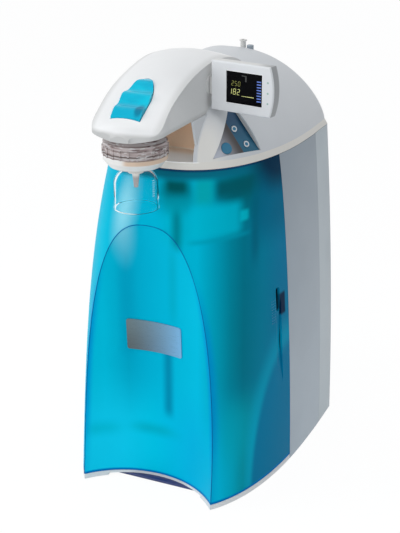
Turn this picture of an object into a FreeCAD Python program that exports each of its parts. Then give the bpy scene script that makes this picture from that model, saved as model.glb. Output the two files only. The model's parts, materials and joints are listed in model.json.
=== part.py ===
import FreeCAD, Part
import math
import os

os.makedirs("parts", exist_ok=True)

# Bench-top ultrapure water system. Millimetres, +Z up, +X to the right of someone facing it.
# Places are worked out from the front line (y = 0 at the tips of the base's two front horns)
# and every piece is moved at the end so that the origin is at the bottom centre of the whole.

V = FreeCAD.Vector
AXIS_X = V(1, 0, 0)
AXIS_Y = V(0, 1, 0)
AXIS_Z = V(0, 0, 1)
ZERO = V(0, 0, 0)
overrun = 30.0           # how far every cutting tool runs past what it cuts
touch = 0.001            # two places closer than this count as one

# Body: the plan outline is a superellipse in front of the widest line and tapers up to the rim
rim_height = 421.0       # underside of the white top
base_half = 138.5        # half width at the table
rim_half = 118.0         # half width at the rim
side_bulge = 3.7         # how far the sides swell between table and rim
widest_y = 261.0         # where the body is widest, from the front line
back_y = 332.0           # rear face
back_draw = 1.5          # how far each side draws in towards the rear face
back_corner = 12.0       # radius of the two rear corners
front_low = -32.7        # where the uncut front would stand at the table
front_rise = 80.2        # how far the uncut front leans back by the rim
front_line_share = 0.32  # part of that lean that is straight, the rest curls in at the shoulder
front_curl_power = 4.4
base_square = 2.78       # squareness of the plan at the table
rim_square = 2.43        # squareness of the plan at the rim
shell = 3.0              # wall of the moulded shells
part_line = 0.5          # gap left open where two shells meet
cover_back_y = 160.0     # where the blue cover ends and the grey housing starts
seam_y = 271.0           # where the housing ends and the rear cover starts

# Dished front: scooped out so that a flask can stand close under the outlet
dish_depth_y = 42.5      # dish's centre line at the table
apex_height = 361.5      # where the two creases meet
apex_y = 15.9
dish_radius_low = 116.0  # bend of the dish in plan at the table
dish_radius_high = 163.0
dish_chord = 105.0       # half width of the scooping tool

# Base
foot_drop = 1.5          # how far the feet stand out under the base
lip_height = 8.0         # top of the white base lip
lip_floor = 2.5
arch_half = 66.0         # half width of the low arch under the front lip
arch_height = 4.5
pan_front_y = 34.0       # straight front edge of the blue base pan
foot_radius = 10.0
foot_height = 3.0

# White top
band_height = 9.0        # height of the rim band
band_inset = 6.0         # how far the dome's rear edge stands in front of the rear face
dome_height = 95.5       # from the band to the crown of the dome
dome_half = 117.4
dome_front_y = 48.5
dome_square = 2.43
dome_corner = 18.0       # radius of the dome's rear corners where it leaves the band
deck_y = 104.0           # depth of the pocket's back wall
deck_thick = 3.0
pocket_half = 42.0

# Arm
arm_low = 480.0          # underside of the arm at its two sides
arm_sag = 5.5            # how far its middle hangs lower
arm_nose_y = -46.5
arm_tail_y = 228.0       # where the arm has sunk into the dome
arm_rise = 66.5          # from the underside to the crest
arm_half = 43.0
arm_wall = 3.0
filter_y = -8.0          # axis of the outlet filter

# Final filter, nozzle and glass bell
filter_radius = 36.8
filter_top = 474.0
filter_joint = 454.0     # where the clear half meets the white bowl
bowl_bottom = 440.0
nozzle_tip = 413.5
nozzle_bore = 1.6
bell_radius = 25.5
bell_wall = 1.6
bell_low = 389.0
bell_high = 434.0        # foot of the bell's neck
bell_shoulder = 15.5
collar_radius = 9.0      # white collar that the bell clips on

# Display head
hinge_x = 46.0
hinge_y = 101.0
hinge_z = 513.0
head_yaw = 10.0          # degrees that the head is turned in towards the user
head_left = 4.0          # from the hinge's face to the head
head_length = 88.0
head_bow = 5.0           # how far the head's right end bows out
head_low = -27.0
head_high = 31.0
head_thick = 17.0
bezel_thick = 3.0
head_wall = 2.2
head_edge = 2.0
screen_left = 25.0
screen_low = -15.8
screen_wide = 48.6
screen_tall = 37.2
light_x = 81.0
light_heights = (13.5, 1.3, -10.5)
light_radius = 1.2
knuckle_radius = 11.0
spigot_radius = 4.0
boss_radius = 12.0

# Key panel: a flat triangle let into the front right of the dome, its corners on the dome
panel_front_x = 61.7
panel_front_y = 68.2
panel_rear_x = 97.7
panel_rear_y = 126.4
panel_top_x = 57.8
panel_top_y = 123.0
panel_foot = 3.0         # its lower edge above the top of the rim band
panel_rise = 59.3        # its upper corner above the top of the rim band
panel_thick = 1.4
key_travel = 0.7
key_gap = 0.35
key_round_shares = (0.332, 0.139, 0.102)    # along the panel, across it, radius
key_upper_shares = (0.597, 0.451, 0.057)
key_lower_shares = (0.755, 0.151, 0.057)

# Fits
running_fit = 0.06       # radial play of everything that turns or slides on a pin or a neck
rest_gap = 0.3           # play left between a moving piece and its seat

# Inside
chassis_y = 175.0        # front of the wall that ties the housing's two sides together
chassis_thick = 3.0
cartridge_x = 55.0
cartridge_y = 94.0
cartridge_radius = 40.0
cartridge_low = 20.0
cartridge_high = 345.0
cap_radius = 33.0
cap_high = 372.0
lamp_x = -62.0
lamp_y = 94.0
lamp_radius = 19.0
lamp_low = 70.0
lamp_high = 330.0
tube_radius = 3.2
nipple = 5.0             # length and half the width of the short stubs that tubes push on

nodes = {}


def add(name, shape):
    """Keep one sub-part under its own name, as one solid or a group of separate solids."""
    solids = shape.Solids
    nodes[name] = solids[0] if len(solids) == 1 else Part.makeCompound(solids)


def block(x0, x1, y0, y1, z0, z1):
    return Part.makeBox(x1 - x0, y1 - y0, z1 - z0, V(x0, y0, z0))


def rod(radius, length, at, axis=AXIS_Z):
    return Part.makeCylinder(radius, length, at, axis)


def loft(wires, ruled=False):
    return Part.makeLoft(wires, True, ruled)


def ring(outer, inner, length, at, axis=AXIS_Z):
    reach = V(axis).normalize() * overrun
    return rod(outer, length, at, axis).cut(rod(inner, length + 2 * overrun, at - reach, axis))


def turned(points, at, axis=AXIS_Z):
    """A solid turned from a profile of (radius, height) points about the axis through at."""
    corners = [V(r, 0, z) for r, z in points]
    face = Part.Face(Part.makePolygon(corners + corners[:1]))
    solid = face.revolve(ZERO, AXIS_Z, 360)
    solid.Placement = FreeCAD.Placement(at, FreeCAD.Rotation(AXIS_Z, axis))
    return solid


def prism(points, direction):
    return Part.Face(Part.makePolygon(points + points[:1])).extrude(direction)


def round_upright(shape, radius, axis=AXIS_Z):
    """Round the straight edges that run along the axis."""
    picked = [e for e in shape.Edges if e.Curve.TypeId == "Part::GeomLine"
              and abs(abs(e.tangentAt(e.FirstParameter).dot(axis)) - 1) < touch]
    return shape.makeFillet(radius, picked)


# Body outline

def body_sizes(z, inset):
    share = z / rim_height
    half = base_half + (rim_half - base_half) * share + 4 * side_bulge * share * (1 - share)
    curl = front_line_share * share + (1 - front_line_share) * abs(share) ** front_curl_power
    front = front_low + front_rise * curl
    square = base_square + (rim_square - base_square) * share
    return half - inset, front + inset, square


def plan_wire(z, half, front, square, centre_y, back, draw, corner):
    """A closed plan outline: curved front half, straight sides and rounded rear corners."""
    points = []
    steps = 16
    for i in range(steps + 1):
        turn = math.pi * i / steps
        c, s = math.cos(turn), math.sin(turn)
        x = half * math.copysign(abs(c) ** (2 / square), c)
        y = centre_y - (centre_y - front) * abs(s) ** (2 / square)
        points.append(V(x, y, z))
    points[0] = V(half, centre_y, z)
    points[-1] = V(-half, centre_y, z)
    nose = Part.BSplineCurve()
    nose.interpolate(Points=points, InitialTangent=V(0, -1, 0), FinalTangent=V(0, 1, 0))
    edges = [nose.toShape()]
    lean = math.atan2(draw, back - centre_y)
    along = V(math.sin(lean), math.cos(lean), 0)
    tip = V(-half + draw, back, z)
    setback = corner * math.tan((math.pi / 2 - lean) / 2)
    start = tip - along * setback
    end = tip + AXIS_X * setback
    inward = V(along.y, -along.x, 0)
    centre = start + inward * corner
    middle = centre - (inward + V(0, -1, 0)).normalize() * corner
    mirror = [V(-p.x, p.y, z) for p in (start, middle, end)]
    edges.append(Part.makeLine(points[-1], start))
    edges.append(Part.Arc(start, middle, end).toShape())
    edges.append(Part.makeLine(end, mirror[2]))
    edges.append(Part.Arc(mirror[2], mirror[1], mirror[0]).toShape())
    edges.append(Part.makeLine(mirror[0], points[0]))
    return Part.Wire(edges)


def body_wire(z, inset):
    half, front, square = body_sizes(z, inset)
    return plan_wire(z, half, front, square, widest_y, back_y - inset, back_draw, back_corner - inset / 2)


def body(inset, low, high):
    """The whole body's volume between two heights, drawn in by the inset."""
    stations = [0.0, 0.22, 0.44, 0.62, 0.76, 0.88, 1.0]
    return loft([body_wire(low + (high - low) * s, inset) for s in stations])


dish_straight_share = 0.32   # part of the dish's lean that is straight
dish_curl_share = 0.70       # part that curls forward under the creases
dish_start_share = -0.06
dish_end_share = 1.12
dish_sections = 9


def dish(inset):
    """Everything in front of the dished face, moved back by the inset."""
    wires = []
    front = front_low - 3 * overrun
    for i in range(dish_sections):
        share = dish_start_share + (dish_end_share - dish_start_share) * i / (dish_sections - 1)
        depth_share = dish_straight_share * (1 - share) + dish_curl_share * (1 - share ** 4)
        middle = apex_y + (dish_depth_y - apex_y) * depth_share + inset
        bend_share = 1 - math.copysign(abs(1 - share) ** 2.2, 1 - share)
        radius = dish_radius_low + (dish_radius_high - dish_radius_low) * bend_share + inset
        end = middle - radius + math.sqrt(radius ** 2 - dish_chord ** 2)
        z = apex_height * share
        arc = Part.Arc(V(-dish_chord, end, z), V(0, middle, z), V(dish_chord, end, z)).toShape()
        rest = Part.makePolygon([V(dish_chord, end, z), V(dish_chord, front, z),
                                 V(-dish_chord, front, z), V(-dish_chord, end, z)])
        wires.append(Part.Wire([arc] + rest.Edges))
    return loft(wires)


wide = base_half + overrun
ahead = front_low - 4 * overrun
dish_front = dish(0)
dish_inner = dish(shell)

# Base tray with its two horns, the arched lip and the blue base pan

base_solid = body(0, 0, rim_height)
inner_solid = body(shell, 0, rim_height)
fit_solid = body(shell + part_line, 0, rim_height)
floor_top = foot_drop + lip_floor
pan_deep = 15.0          # how far the arch and the pan run back from the pan's edge


def foot_places():
    front_x = arch_half + 2 * foot_radius
    front_y = pan_front_y + foot_radius
    rear_y = back_y - 4 * foot_radius
    return [(side * front_x, y) for side in (-1, 1) for y in (front_y, rear_y)]


def base_tray():
    front = base_solid.common(block(-wide, wide, ahead, cover_back_y - part_line, foot_drop, lip_height))
    rear = fit_solid.common(block(-wide, wide, cover_back_y - overrun, back_y, foot_drop, floor_top))
    tray = front.fuse(rear)
    rim_wall = 2 * shell
    well = body(rim_wall, 0, rim_height).cut(dish(rim_wall))
    well = well.common(block(-wide, wide, ahead, cover_back_y + overrun, floor_top, lip_height + overrun))
    tray = tray.cut(well).cut(dish_front)
    tray = tray.cut(block(-arch_half, arch_half, ahead, pan_front_y + pan_deep, -overrun, arch_height))
    for x, y in foot_places():
        tray = tray.cut(rod(foot_radius + part_line, foot_height, V(x, y, 0)))
    return tray.removeSplitter()


def rubber_feet():
    feet = []
    rim = foot_height / 3
    for x, y in foot_places():
        pad = [
            (0, 0),
            (foot_radius - rim, 0),
            (foot_radius, rim),
            (foot_radius, foot_height),
            (0, foot_height),
        ]
        feet.append(turned(pad, V(x, y, 0)))
    return Part.makeCompound(feet)


def base_pan():
    low = foot_drop / 2
    back = pan_front_y + pan_deep - part_line
    plate = block(-arch_half + part_line, arch_half - part_line, pan_front_y, back, low, arch_height)
    front_edges = [e for e in plate.Edges if abs(e.CenterOfMass.y - pan_front_y) < touch
                   and abs(e.CenterOfMass.x) < touch]
    return plate.makeChamfer((arch_height - low) / 4, front_edges)


add("base_tray", base_tray())
add("rubber_feet", rubber_feet())
add("base_pan", base_pan())

# Blue front cover, its name plate, side grips and clips

grip_low = 177.0         # shallow scoop under each finger slot
grip_high = 257.0
grip_y = 133.0
grip_depth = 1.3
grip_wide = 14.4
slot_low = 225.0
slot_wide = 9.0
slot_round = 4.0
plate_half = 37.2
plate_low = 186.0
plate_high = 227.5
plate_thick = 1.2
clip_low_share = 0.16
clip_high_share = 0.84
clip_tall = 14.0
clip_reach = 9.0
clip_thick = 2.2
clip_foot = 4.0


def cover_side_x(z, y):
    """Half width of the body at a height and a depth."""
    half, front, square = body_sizes(z, 0)
    back = (widest_y - y) / (widest_y - front)
    return half * (1 - back ** square) ** (1 / square)


def front_cover():
    zone = block(-wide, wide, ahead, cover_back_y, lip_height + part_line, rim_height - part_line)
    cover = base_solid.common(zone).cut(dish_front)
    cover = cover.cut(inner_solid.cut(dish_inner))
    half_length = (grip_high - grip_low) / 2
    middle = (grip_high + grip_low) / 2
    bend = (half_length ** 2 + grip_depth ** 2) / (2 * grip_depth)
    for side in (-1, 1):
        x = side * cover_side_x(slot_low, grip_y)
        slot = block(x - overrun, x + overrun, grip_y - slot_wide / 2, grip_y + slot_wide / 2,
                     slot_low, grip_high)
        skin = side * (cover_side_x(middle, grip_y) + bend - grip_depth)
        scoop = rod(bend, grip_wide, V(skin, grip_y - grip_wide / 2, middle), AXIS_Y)
        cover = cover.cut(round_upright(slot, slot_round, AXIS_X)).cut(scoop)
    return cover


def name_plate():
    window = block(-plate_half, plate_half, 0, dish_depth_y + overrun, plate_low, plate_high)
    window = round_upright(window, shell, AXIS_Y)
    return window.common(dish_front).cut(dish(-plate_thick))


def cover_clips():
    """Four spring tongues that reach back from the cover's wall into the housing."""
    clips = []
    for share in (clip_low_share, clip_high_share):
        z = share * rim_height
        front = cover_back_y - clip_reach
        x = cover_side_x(z + clip_tall, front) - shell - clip_thick - part_line
        for side in (-1, 1):
            x0, x1 = sorted((side * x, side * (x + clip_thick)))
            tongue = block(x0, x1, front, cover_back_y + clip_reach, z, z + clip_tall)
            x0, x1 = sorted((side * x, side * (x + overrun)))
            foot = block(x0, x1, front, front + clip_foot, z, z + clip_tall)
            clips.append(tongue.fuse(foot.common(inner_solid)).removeSplitter())
    return Part.makeCompound(clips)


add("front_cover", front_cover())
add("name_plate", name_plate())
add("cover_clips", cover_clips())

# Grey housing and rear cover

inlet_x = -70.0
inlet_z = 60.0
inlet_wide = 27.5
inlet_tall = 20.0
inlet_deep = 22.0
feed_x = 58.0
feed_z = 52.0
drain_x = 92.0
drain_z = 30.0
port_hole = 8.0
vent_count = 9
vent_pitch = 7.0
vent_low_share = 0.62
vent_long = 56.0
vent_open = 2.5
post_x = 96.0
post_heights = (100.0, 394.0)
post_radius = 5.0
screw_radius = 1.6
screw_head = 3.2
screw_rise = 2.0
riser_z = 230.0


def rear_shell(y0, y1):
    zone = block(-wide, wide, y0, y1, foot_drop, rim_height - part_line)
    return base_solid.common(zone).cut(inner_solid)


def vent_slots():
    slots = []
    for i in range(vent_count):
        z = rim_height * vent_low_share + i * vent_pitch
        slots.append(block(-vent_long / 2, vent_long / 2, back_y - 2 * shell, back_y + overrun,
                           z, z + vent_open))
    return Part.makeCompound(slots)


def screw_holes():
    return [rod(screw_radius, 2 * overrun, V(x, back_y - overrun, z), AXIS_Y)
            for x in (-post_x, post_x) for z in post_heights]


def rear_cover():
    panel = rear_shell(seam_y + part_line, back_y + overrun)
    panel = panel.cut(block(inlet_x - inlet_wide / 2, inlet_x + inlet_wide / 2, back_y - 2 * shell,
                            back_y + overrun, inlet_z - inlet_tall / 2, inlet_z + inlet_tall / 2))
    for x, z in ((feed_x, feed_z), (drain_x, drain_z)):
        panel = panel.cut(rod(port_hole, 4 * overrun, V(x, back_y - overrun, z), AXIS_Y))
    for hole in screw_holes():
        panel = panel.cut(hole)
    return panel.cut(vent_slots())


def rear_housing():
    """Both grey sides in one moulding, tied by an upright wall that carries the inner pieces."""
    shape = rear_shell(cover_back_y + part_line, seam_y)
    slab = block(-wide, wide, chassis_y, chassis_y + chassis_thick, floor_top, rim_height - part_line)
    shape = shape.fuse(slab.common(body(shell / 2, 0, rim_height)))
    start = chassis_y + chassis_thick / 2
    for x in (-post_x, post_x):
        for z in post_heights:
            shape = shape.fuse(rod(post_radius, back_y - shell - start, V(x, start, z), AXIS_Y))
    for hole in screw_holes():
        shape = shape.cut(hole)
    passage = rod(tube_radius + part_line, 2 * overrun, V(feed_x, chassis_y - overrun, riser_z), AXIS_Y)
    shape = shape.cut(passage)
    return shape.removeSplitter()


def rear_screws():
    screws = []
    for x in (-post_x, post_x):
        for z in post_heights:
            head = [
                (0, 0),
                (screw_head, 0),
                (screw_head, screw_rise / 2),
                (screw_radius, screw_rise),
                (0, screw_rise),
            ]
            screw = turned(head, V(x, back_y, z), AXIS_Y)
            screw = screw.fuse(rod(screw_radius, 3 * shell, V(x, back_y - 3 * shell, z), AXIS_Y))
            slot = block(x - screw_head, x + screw_head, back_y + screw_rise / 2, back_y + overrun,
                         z - screw_rise / 4, z + screw_rise / 4)
            screws.append(screw.cut(slot))
    return Part.makeCompound(screws)


add("rear_housing", rear_housing())
add("rear_cover", rear_cover())
add("rear_screws", rear_screws())

# Power inlet, feed and drain connectors on the rear face

flange = 2.0
pin_long = 9.0
pin_wide = 2.0
pin_tall = 4.0
pin_pitch = 7.0
pin_drop = 1.2
pin_lift = 2.6
stem_long = 12.0
stem_wall = 2.2
feed_bore = 3.2
barb_count = 3
barb_rise = 1.2
barb_flat = 1.0
port_flange = 10.0
nut_radius = 12.0


def inlet_block(grow, y0, y1):
    half_wide = inlet_wide / 2 + grow
    half_tall = inlet_tall / 2 + grow
    return block(inlet_x - half_wide, inlet_x + half_wide, y0, y1, inlet_z - half_tall, inlet_z + half_tall)


def power_inlet():
    rim = round_upright(inlet_block(1.5 * flange, back_y, back_y + flange), flange, AXIS_Y)
    cavity = inlet_block(-flange, back_y - inlet_deep + flange, back_y + overrun)
    lower = [e for e in cavity.Edges if abs(e.CenterOfMass.z - (inlet_z - inlet_tall / 2 + flange)) < touch
             and abs(e.tangentAt(e.FirstParameter).y) > 1 - touch]
    cavity = cavity.makeChamfer(2 * flange, lower)
    return inlet_block(-part_line, back_y - inlet_deep, back_y).fuse(rim).cut(cavity)


def inlet_pins():
    floor = back_y - inlet_deep + flange
    pins = []
    for step, lift in ((-1, -pin_drop), (0, pin_lift), (1, -pin_drop)):
        x = inlet_x + step * pin_pitch
        z = inlet_z + lift
        pins.append(block(x - pin_wide / 2, x + pin_wide / 2, floor, floor + pin_long,
                          z - pin_tall / 2, z + pin_tall / 2))
    return Part.makeCompound(pins)


def hose_port(x, z):
    """A bulkhead connector: threaded neck through the wall, flange outside and a barbed stem."""
    neck = shell + flange
    stem = feed_bore + stem_wall
    height = neck + 2 * flange
    points = [
        (0, 0),
        (port_hole - part_line, 0),
        (port_hole - part_line, neck),
        (port_flange, neck),
        (port_flange, height),
        (stem, height),
    ]
    step = stem_long / barb_count
    for _ in range(barb_count):
        points += [(stem, height + barb_flat), (stem + barb_rise, height + barb_flat), (stem, height + step)]
        height += step
    points += [(0, height)]
    port = turned(points, V(x, back_y - neck, z), AXIS_Y)
    return port.cut(rod(feed_bore, 4 * overrun, V(x, back_y - 2 * overrun, z), AXIS_Y))


def port_nut(x, z):
    y = back_y - shell - flange
    corners = []
    for k in range(6):
        turn = k * math.pi / 3
        corners.append(V(x + nut_radius * math.cos(turn), y, z + nut_radius * math.sin(turn)))
    nut = prism(corners, V(0, flange, 0))
    hole = port_hole - part_line + running_fit
    return nut.cut(rod(hole, 4 * overrun, V(x, back_y - 2 * overrun, z), AXIS_Y))


add("power_inlet", power_inlet())
add("inlet_pins", inlet_pins())
add("feed_connector", hose_port(feed_x, feed_z))
add("drain_connector", hose_port(drain_x, drain_z))
add("connector_nuts", Part.makeCompound([port_nut(feed_x, feed_z), port_nut(drain_x, drain_z)]))

# Arm: stations run from the nose to where the arm sinks into the dome
# Each row: place along the arm, half width, ridge height and crown height, all as shares

arm_shares = [
    (0.0, 0.267, -0.045, 0.023),
    (0.0237, 0.693, 0.03, 0.165),
    (0.0492, 0.953, 0.09, 0.263),
    (0.1148, 1.0, 0.301, 0.421),
    (0.1985, 1.0, 0.511, 0.617),
    (0.2969, 1.0, 0.669, 0.812),
    (0.4244, 1.0, 0.8045, 0.947),
    (0.5701, 1.023, 0.8797, 1.0),
    (0.7158, 1.047, 0.842, 0.947),
    (0.8616, 1.07, 0.662, 0.782),
    (1.0, 1.093, 0.301, 0.436),
]


def arm_stations():
    length = arm_tail_y - arm_nose_y
    stations = []
    for along, half, ridge, crown in arm_shares:
        heights = (arm_low + arm_rise * ridge, arm_low + arm_rise * crown)
        stations.append((arm_nose_y + length * along, arm_half * half) + heights)
    return stations


def arm_bottom(half):
    """Height of the arm's underside at a distance from the centre plane."""
    return arm_low - arm_sag * (1 - (half / arm_half) ** 2)


def arm_wire(y, half, side_low, ridge, crown, middle_low):
    left_low, right_low = V(-half, y, side_low), V(half, y, side_low)
    left_ridge, right_ridge = V(-half, y, ridge), V(half, y, ridge)
    bottom = Part.Arc(left_low, V(0, y, middle_low), right_low).toShape()
    right = Part.makeLine(right_low, right_ridge)
    top = Part.Arc(right_ridge, V(0, y, crown), left_ridge).toShape()
    left = Part.makeLine(left_ridge, left_low)
    return Part.Wire([bottom, right, top, left])


def arm_outer():
    wires = []
    for y, half, ridge, crown in arm_stations():
        wires.append(arm_wire(y, half, arm_bottom(half), ridge, crown, arm_low - arm_sag))
    return loft(wires)


def arm_inner():
    """The hollow inside the arm: the same stations drawn in, open through the underside."""
    wires = []
    low = arm_low - arm_sag - arm_wall
    for i, (y, half, ridge, crown) in enumerate(arm_stations()[2:-1]):
        y_in = y + arm_wall if i == 0 else y
        wires.append(arm_wire(y_in, half - arm_wall, low, ridge - arm_wall, crown - arm_wall, low - arm_wall))
    return loft(wires)


def underside_slab():
    """A plate that follows the arm's curved underside, inside the arm's walls."""
    inset = arm_wall + part_line
    wires = []
    middle = arm_low - arm_sag
    for i, (y, half, _, _) in enumerate(arm_stations()[2:8]):
        y_in = y + inset if i == 0 else y
        side = arm_bottom(half - inset)
        wires.append(arm_wire(y_in, half - inset, side, side + arm_wall, middle + arm_wall, middle))
    return loft(wires)


# Dispense lever let into the top of the arm

lever_low_y = -31.0
lever_mid_y = -4.0
lever_high_y = 27.0
lever_end = 2.0          # how far the lever's top line is drawn past its two ends
lever_low_z = 498.2
lever_high_z = 531.6
lever_bow = 1.6
lever_low_half = 18.0
lever_high_half = 6.5
lever_shoulder_x = 14.4
lever_shoulder_y = 10.4
lever_waves = 3
lever_wave = 1.6
lever_proud = 1.2
lever_thick = 3.6
lever_gap = 0.6
lever_pin_y = 22.0
lever_pin_z = 516.0
lever_pin_radius = 2.0
lever_barrel = 4.6
lever_barrel_half = 10.0
ear_gap = 1.0
ear_thick = 2.0
above_all = rim_height + 5 * overrun


def lever_outline(grow):
    low, high = lever_low_y - grow, lever_high_y + grow
    wide_half, top_half = lever_low_half + grow, lever_high_half + grow
    right_low, right_mid = V(wide_half, low, 0), V(wide_half, lever_mid_y, 0)
    right_high = V(top_half, high - top_half / 2, 0)
    left_low, left_mid = V(-wide_half, low, 0), V(-wide_half, lever_mid_y, 0)
    left_high = V(-top_half, high - top_half / 2, 0)
    shoulder_x = lever_shoulder_x + grow
    shoulder_y = lever_shoulder_y + grow / 2
    edges = [
        Part.makeLine(left_low, right_low),
        Part.makeLine(right_low, right_mid),
        Part.Arc(right_mid, V(shoulder_x, shoulder_y, 0), right_high).toShape(),
        Part.Arc(right_high, V(0, high, 0), left_high).toShape(),
        Part.Arc(left_high, V(-shoulder_x, shoulder_y, 0), left_mid).toShape(),
        Part.makeLine(left_mid, left_low),
    ]
    return Part.Face(Part.Wire(edges))


def lever_line(rise, wave):
    """The lever's top line in the centre plane, with its finger waves."""
    points = []
    steps = 6 * lever_waves
    start, end = lever_low_y - lever_end, lever_high_y + lever_end
    for i in range(steps + 1):
        share = i / steps
        ripple = wave * math.sin(2 * math.pi * lever_waves * share - math.pi / 2)
        z = lever_low_z + (lever_high_z - lever_low_z) * share + lever_bow * math.sin(math.pi * share)
        points.append(V(0, start + (end - start) * share, z + rise + ripple))
    return points


def lever_layer():
    top = lever_line(lever_proud, lever_wave)
    bottom = lever_line(-lever_thick, 0)
    upper = Part.BSplineCurve()
    upper.interpolate(top)
    lower = Part.BSplineCurve()
    lower.interpolate(bottom)
    edges = [
        upper.toShape(),
        Part.makeLine(top[-1], bottom[-1]),
        lower.toShape(),
        Part.makeLine(bottom[0], top[0]),
    ]
    face = Part.Face(Part.Wire(edges))
    face.translate(V(-2 * lever_low_half, 0, 0))
    return face.extrude(V(4 * lever_low_half, 0, 0))


def dispense_lever():
    column = lever_outline(0).extrude(V(0, 0, above_all))
    paddle = lever_layer().common(column)
    barrel = rod(lever_barrel, 2 * lever_barrel_half, V(-lever_barrel_half, lever_pin_y, lever_pin_z), AXIS_X)
    stem = block(-lever_barrel_half / 2, lever_barrel_half / 2, lever_pin_y - lever_thick / 2,
                 lever_pin_y + lever_thick / 2, lever_pin_z, lever_pin_z + 2 * lever_barrel)
    bore = rod(lever_pin_radius + running_fit, 4 * lever_barrel_half,
               V(-2 * lever_barrel_half, lever_pin_y, lever_pin_z), AXIS_X)
    return paddle.fuse(barrel).fuse(stem).cut(bore).removeSplitter()


def lever_bracket():
    """A bent bracket that stands on the arm's underside plate and carries the lever's pin."""
    inner_x = lever_barrel_half + ear_gap
    outer_x = inner_x + ear_thick
    foot_z = arm_bottom(outer_x) + arm_wall
    shape = block(-outer_x, outer_x, lever_pin_y - 2 * lever_barrel, lever_pin_y + 2 * lever_barrel,
                  foot_z, foot_z + ear_thick)
    for x in (-outer_x, inner_x):
        ear = block(x, x + ear_thick, lever_pin_y - lever_barrel, lever_pin_y + lever_barrel,
                    foot_z, lever_pin_z)
        shape = shape.fuse(ear).fuse(rod(lever_barrel, ear_thick, V(x, lever_pin_y, lever_pin_z), AXIS_X))
    return shape.cut(lever_rod(overrun)).removeSplitter()


def lever_rod(past):
    reach = lever_barrel_half + ear_gap + ear_thick + past
    return rod(lever_pin_radius, 2 * reach, V(-reach, lever_pin_y, lever_pin_z), AXIS_X)


arm_outer_solid = arm_outer()
lever_window = lever_outline(lever_gap).extrude(V(0, 0, above_all))
lever_window = lever_window.common(block(-wide, wide, ahead, wide, arm_low + arm_wall, above_all))

# Display head's place: a turned frame at the arm's right side

head_place = FreeCAD.Placement(V(hinge_x, hinge_y, hinge_z), FreeCAD.Rotation(AXIS_Z, -head_yaw))
spigot_end = 8.0         # how far the head's spigot reaches in past its seat
seat_gap = 0.6


def at_head(shape):
    moved = shape.copy()
    moved.Placement = head_place.multiply(moved.Placement)
    return moved


def hinge_boss():
    """The round seat on the arm's side that the display head turns on."""
    return at_head(rod(boss_radius, boss_radius, V(-boss_radius, 0, 0), AXIS_X))


def arm_shell():
    hollow = arm_inner()
    skin = arm_outer_solid.cut(hollow).cut(lever_window)
    skin = skin.fuse(hinge_boss().cut(hollow))
    bore = at_head(rod(spigot_radius + running_fit, 2 * overrun, V(-overrun, 0, 0), AXIS_X))
    return skin.cut(bore).removeSplitter()


# Outlet port that the filter's neck pushes into

port_radius = 9.0
port_flange_radius = 12.0
port_neck = 5.2
neck_radius = 6.0        # filter's neck
neck_long = 8.0
outlet_z = 487.0


def arm_underside():
    plate = underside_slab()
    plate = plate.common(block(-wide, wide, ahead, deck_y - part_line, 0, above_all))
    return plate.cut(rod(port_radius + running_fit, 4 * overrun, V(0, filter_y, arm_low - 2 * overrun)))


def outlet_port():
    """The moulded fitting in the arm that the filter pushes into."""
    low = arm_low - arm_sag
    seat = arm_bottom(port_flange_radius) + arm_wall
    socket = neck_radius + running_fit
    socket_top = filter_top + neck_long + rest_gap
    top = outlet_z + port_neck
    points = [
        (socket, low),
        (port_radius, low),
        (port_radius, seat),
        (port_flange_radius, seat),
        (port_flange_radius, seat + arm_wall),
        (port_radius, seat + arm_wall),
        (port_neck + nozzle_bore, top),
        (0, top),
        (0, outlet_z),
        (nozzle_bore, outlet_z),
        (nozzle_bore, socket_top),
        (socket, socket_top),
    ]
    port = turned(points, V(0, filter_y, 0))
    spout = rod(tube_radius + barb_flat, port_flange_radius, V(nozzle_bore, filter_y, outlet_z), AXIS_X)
    port = port.fuse(spout)
    return port.cut(rod(nozzle_bore, 2 * port_flange_radius, V(0, filter_y, outlet_z), AXIS_X))


add("arm_shell", arm_shell())
add("arm_underside", arm_underside())
add("outlet_port", outlet_port())
add("dispense_lever", dispense_lever())
add("lever_bracket", lever_bracket())
add("lever_pin", lever_rod(ear_gap))

# White top: rim band, dome, pocket under the arm and the flat for the keys

dome_steps = 8
dome_end_turn = math.radians(84)
dome_side_power = 1.5
dome_front_power = 2.2
dome_back_power = 1.1
deck_z = rim_height + band_height
cheek_front_y = 50.0
cheek_foot_y = 67.0
vent_x = 11.5
vent_y = 280.0
vent_z = 519.0
vent_radius = 3.6
vent_bore = 2.4
vent_high = 13.0
vent_lip = 1.4
relief_x = 21.8
relief_y = 279.0
relief_radius = 4.5
relief_high = 7.0


def dome_wire(share, inset):
    side = (1 - share ** dome_side_power) ** 0.5
    front = (1 - share ** dome_front_power) ** 0.5
    back = (1 - share ** dome_back_power) ** 0.5
    half = (dome_half - inset) * side
    front_y = widest_y - (widest_y - dome_front_y - inset) * front
    deep = (back_y - band_inset - inset - widest_y) * back
    draw = back_draw * side
    corner = (dome_corner - inset) * min(side, back)
    z = deck_z + (dome_height - inset) * share
    return plan_wire(z, half, front_y, dome_square, widest_y, widest_y + deep, draw, corner)


def dome(inset):
    turns = [dome_end_turn * i / dome_steps for i in range(dome_steps + 1)]
    return loft([dome_wire(math.sin(turn), inset) for turn in turns])


def band(inset):
    return loft([body_wire(rim_height, inset), dome_wire(0, inset)], True)


def top_hollow():
    """The room inside the rim band and the dome."""
    return dome(shell).fuse(band(shell)).fuse(body(shell, rim_height - overrun, rim_height))


def rim_band():
    """Band between cover and dome, with the floor and the back wall of the arm's pocket."""
    floor_half = pocket_half + shell
    low = deck_z - deck_thick
    ring = band(0).cut(top_hollow())
    floor = band(0).common(block(-floor_half, floor_half, 0, deck_y + shell, low, deck_z))
    back_wall = block(-pocket_half, pocket_half, deck_y, deck_y + shell, low, arm_low - part_line)
    return ring.fuse(floor).fuse(back_wall).cut(arm_outer_solid).removeSplitter()


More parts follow.
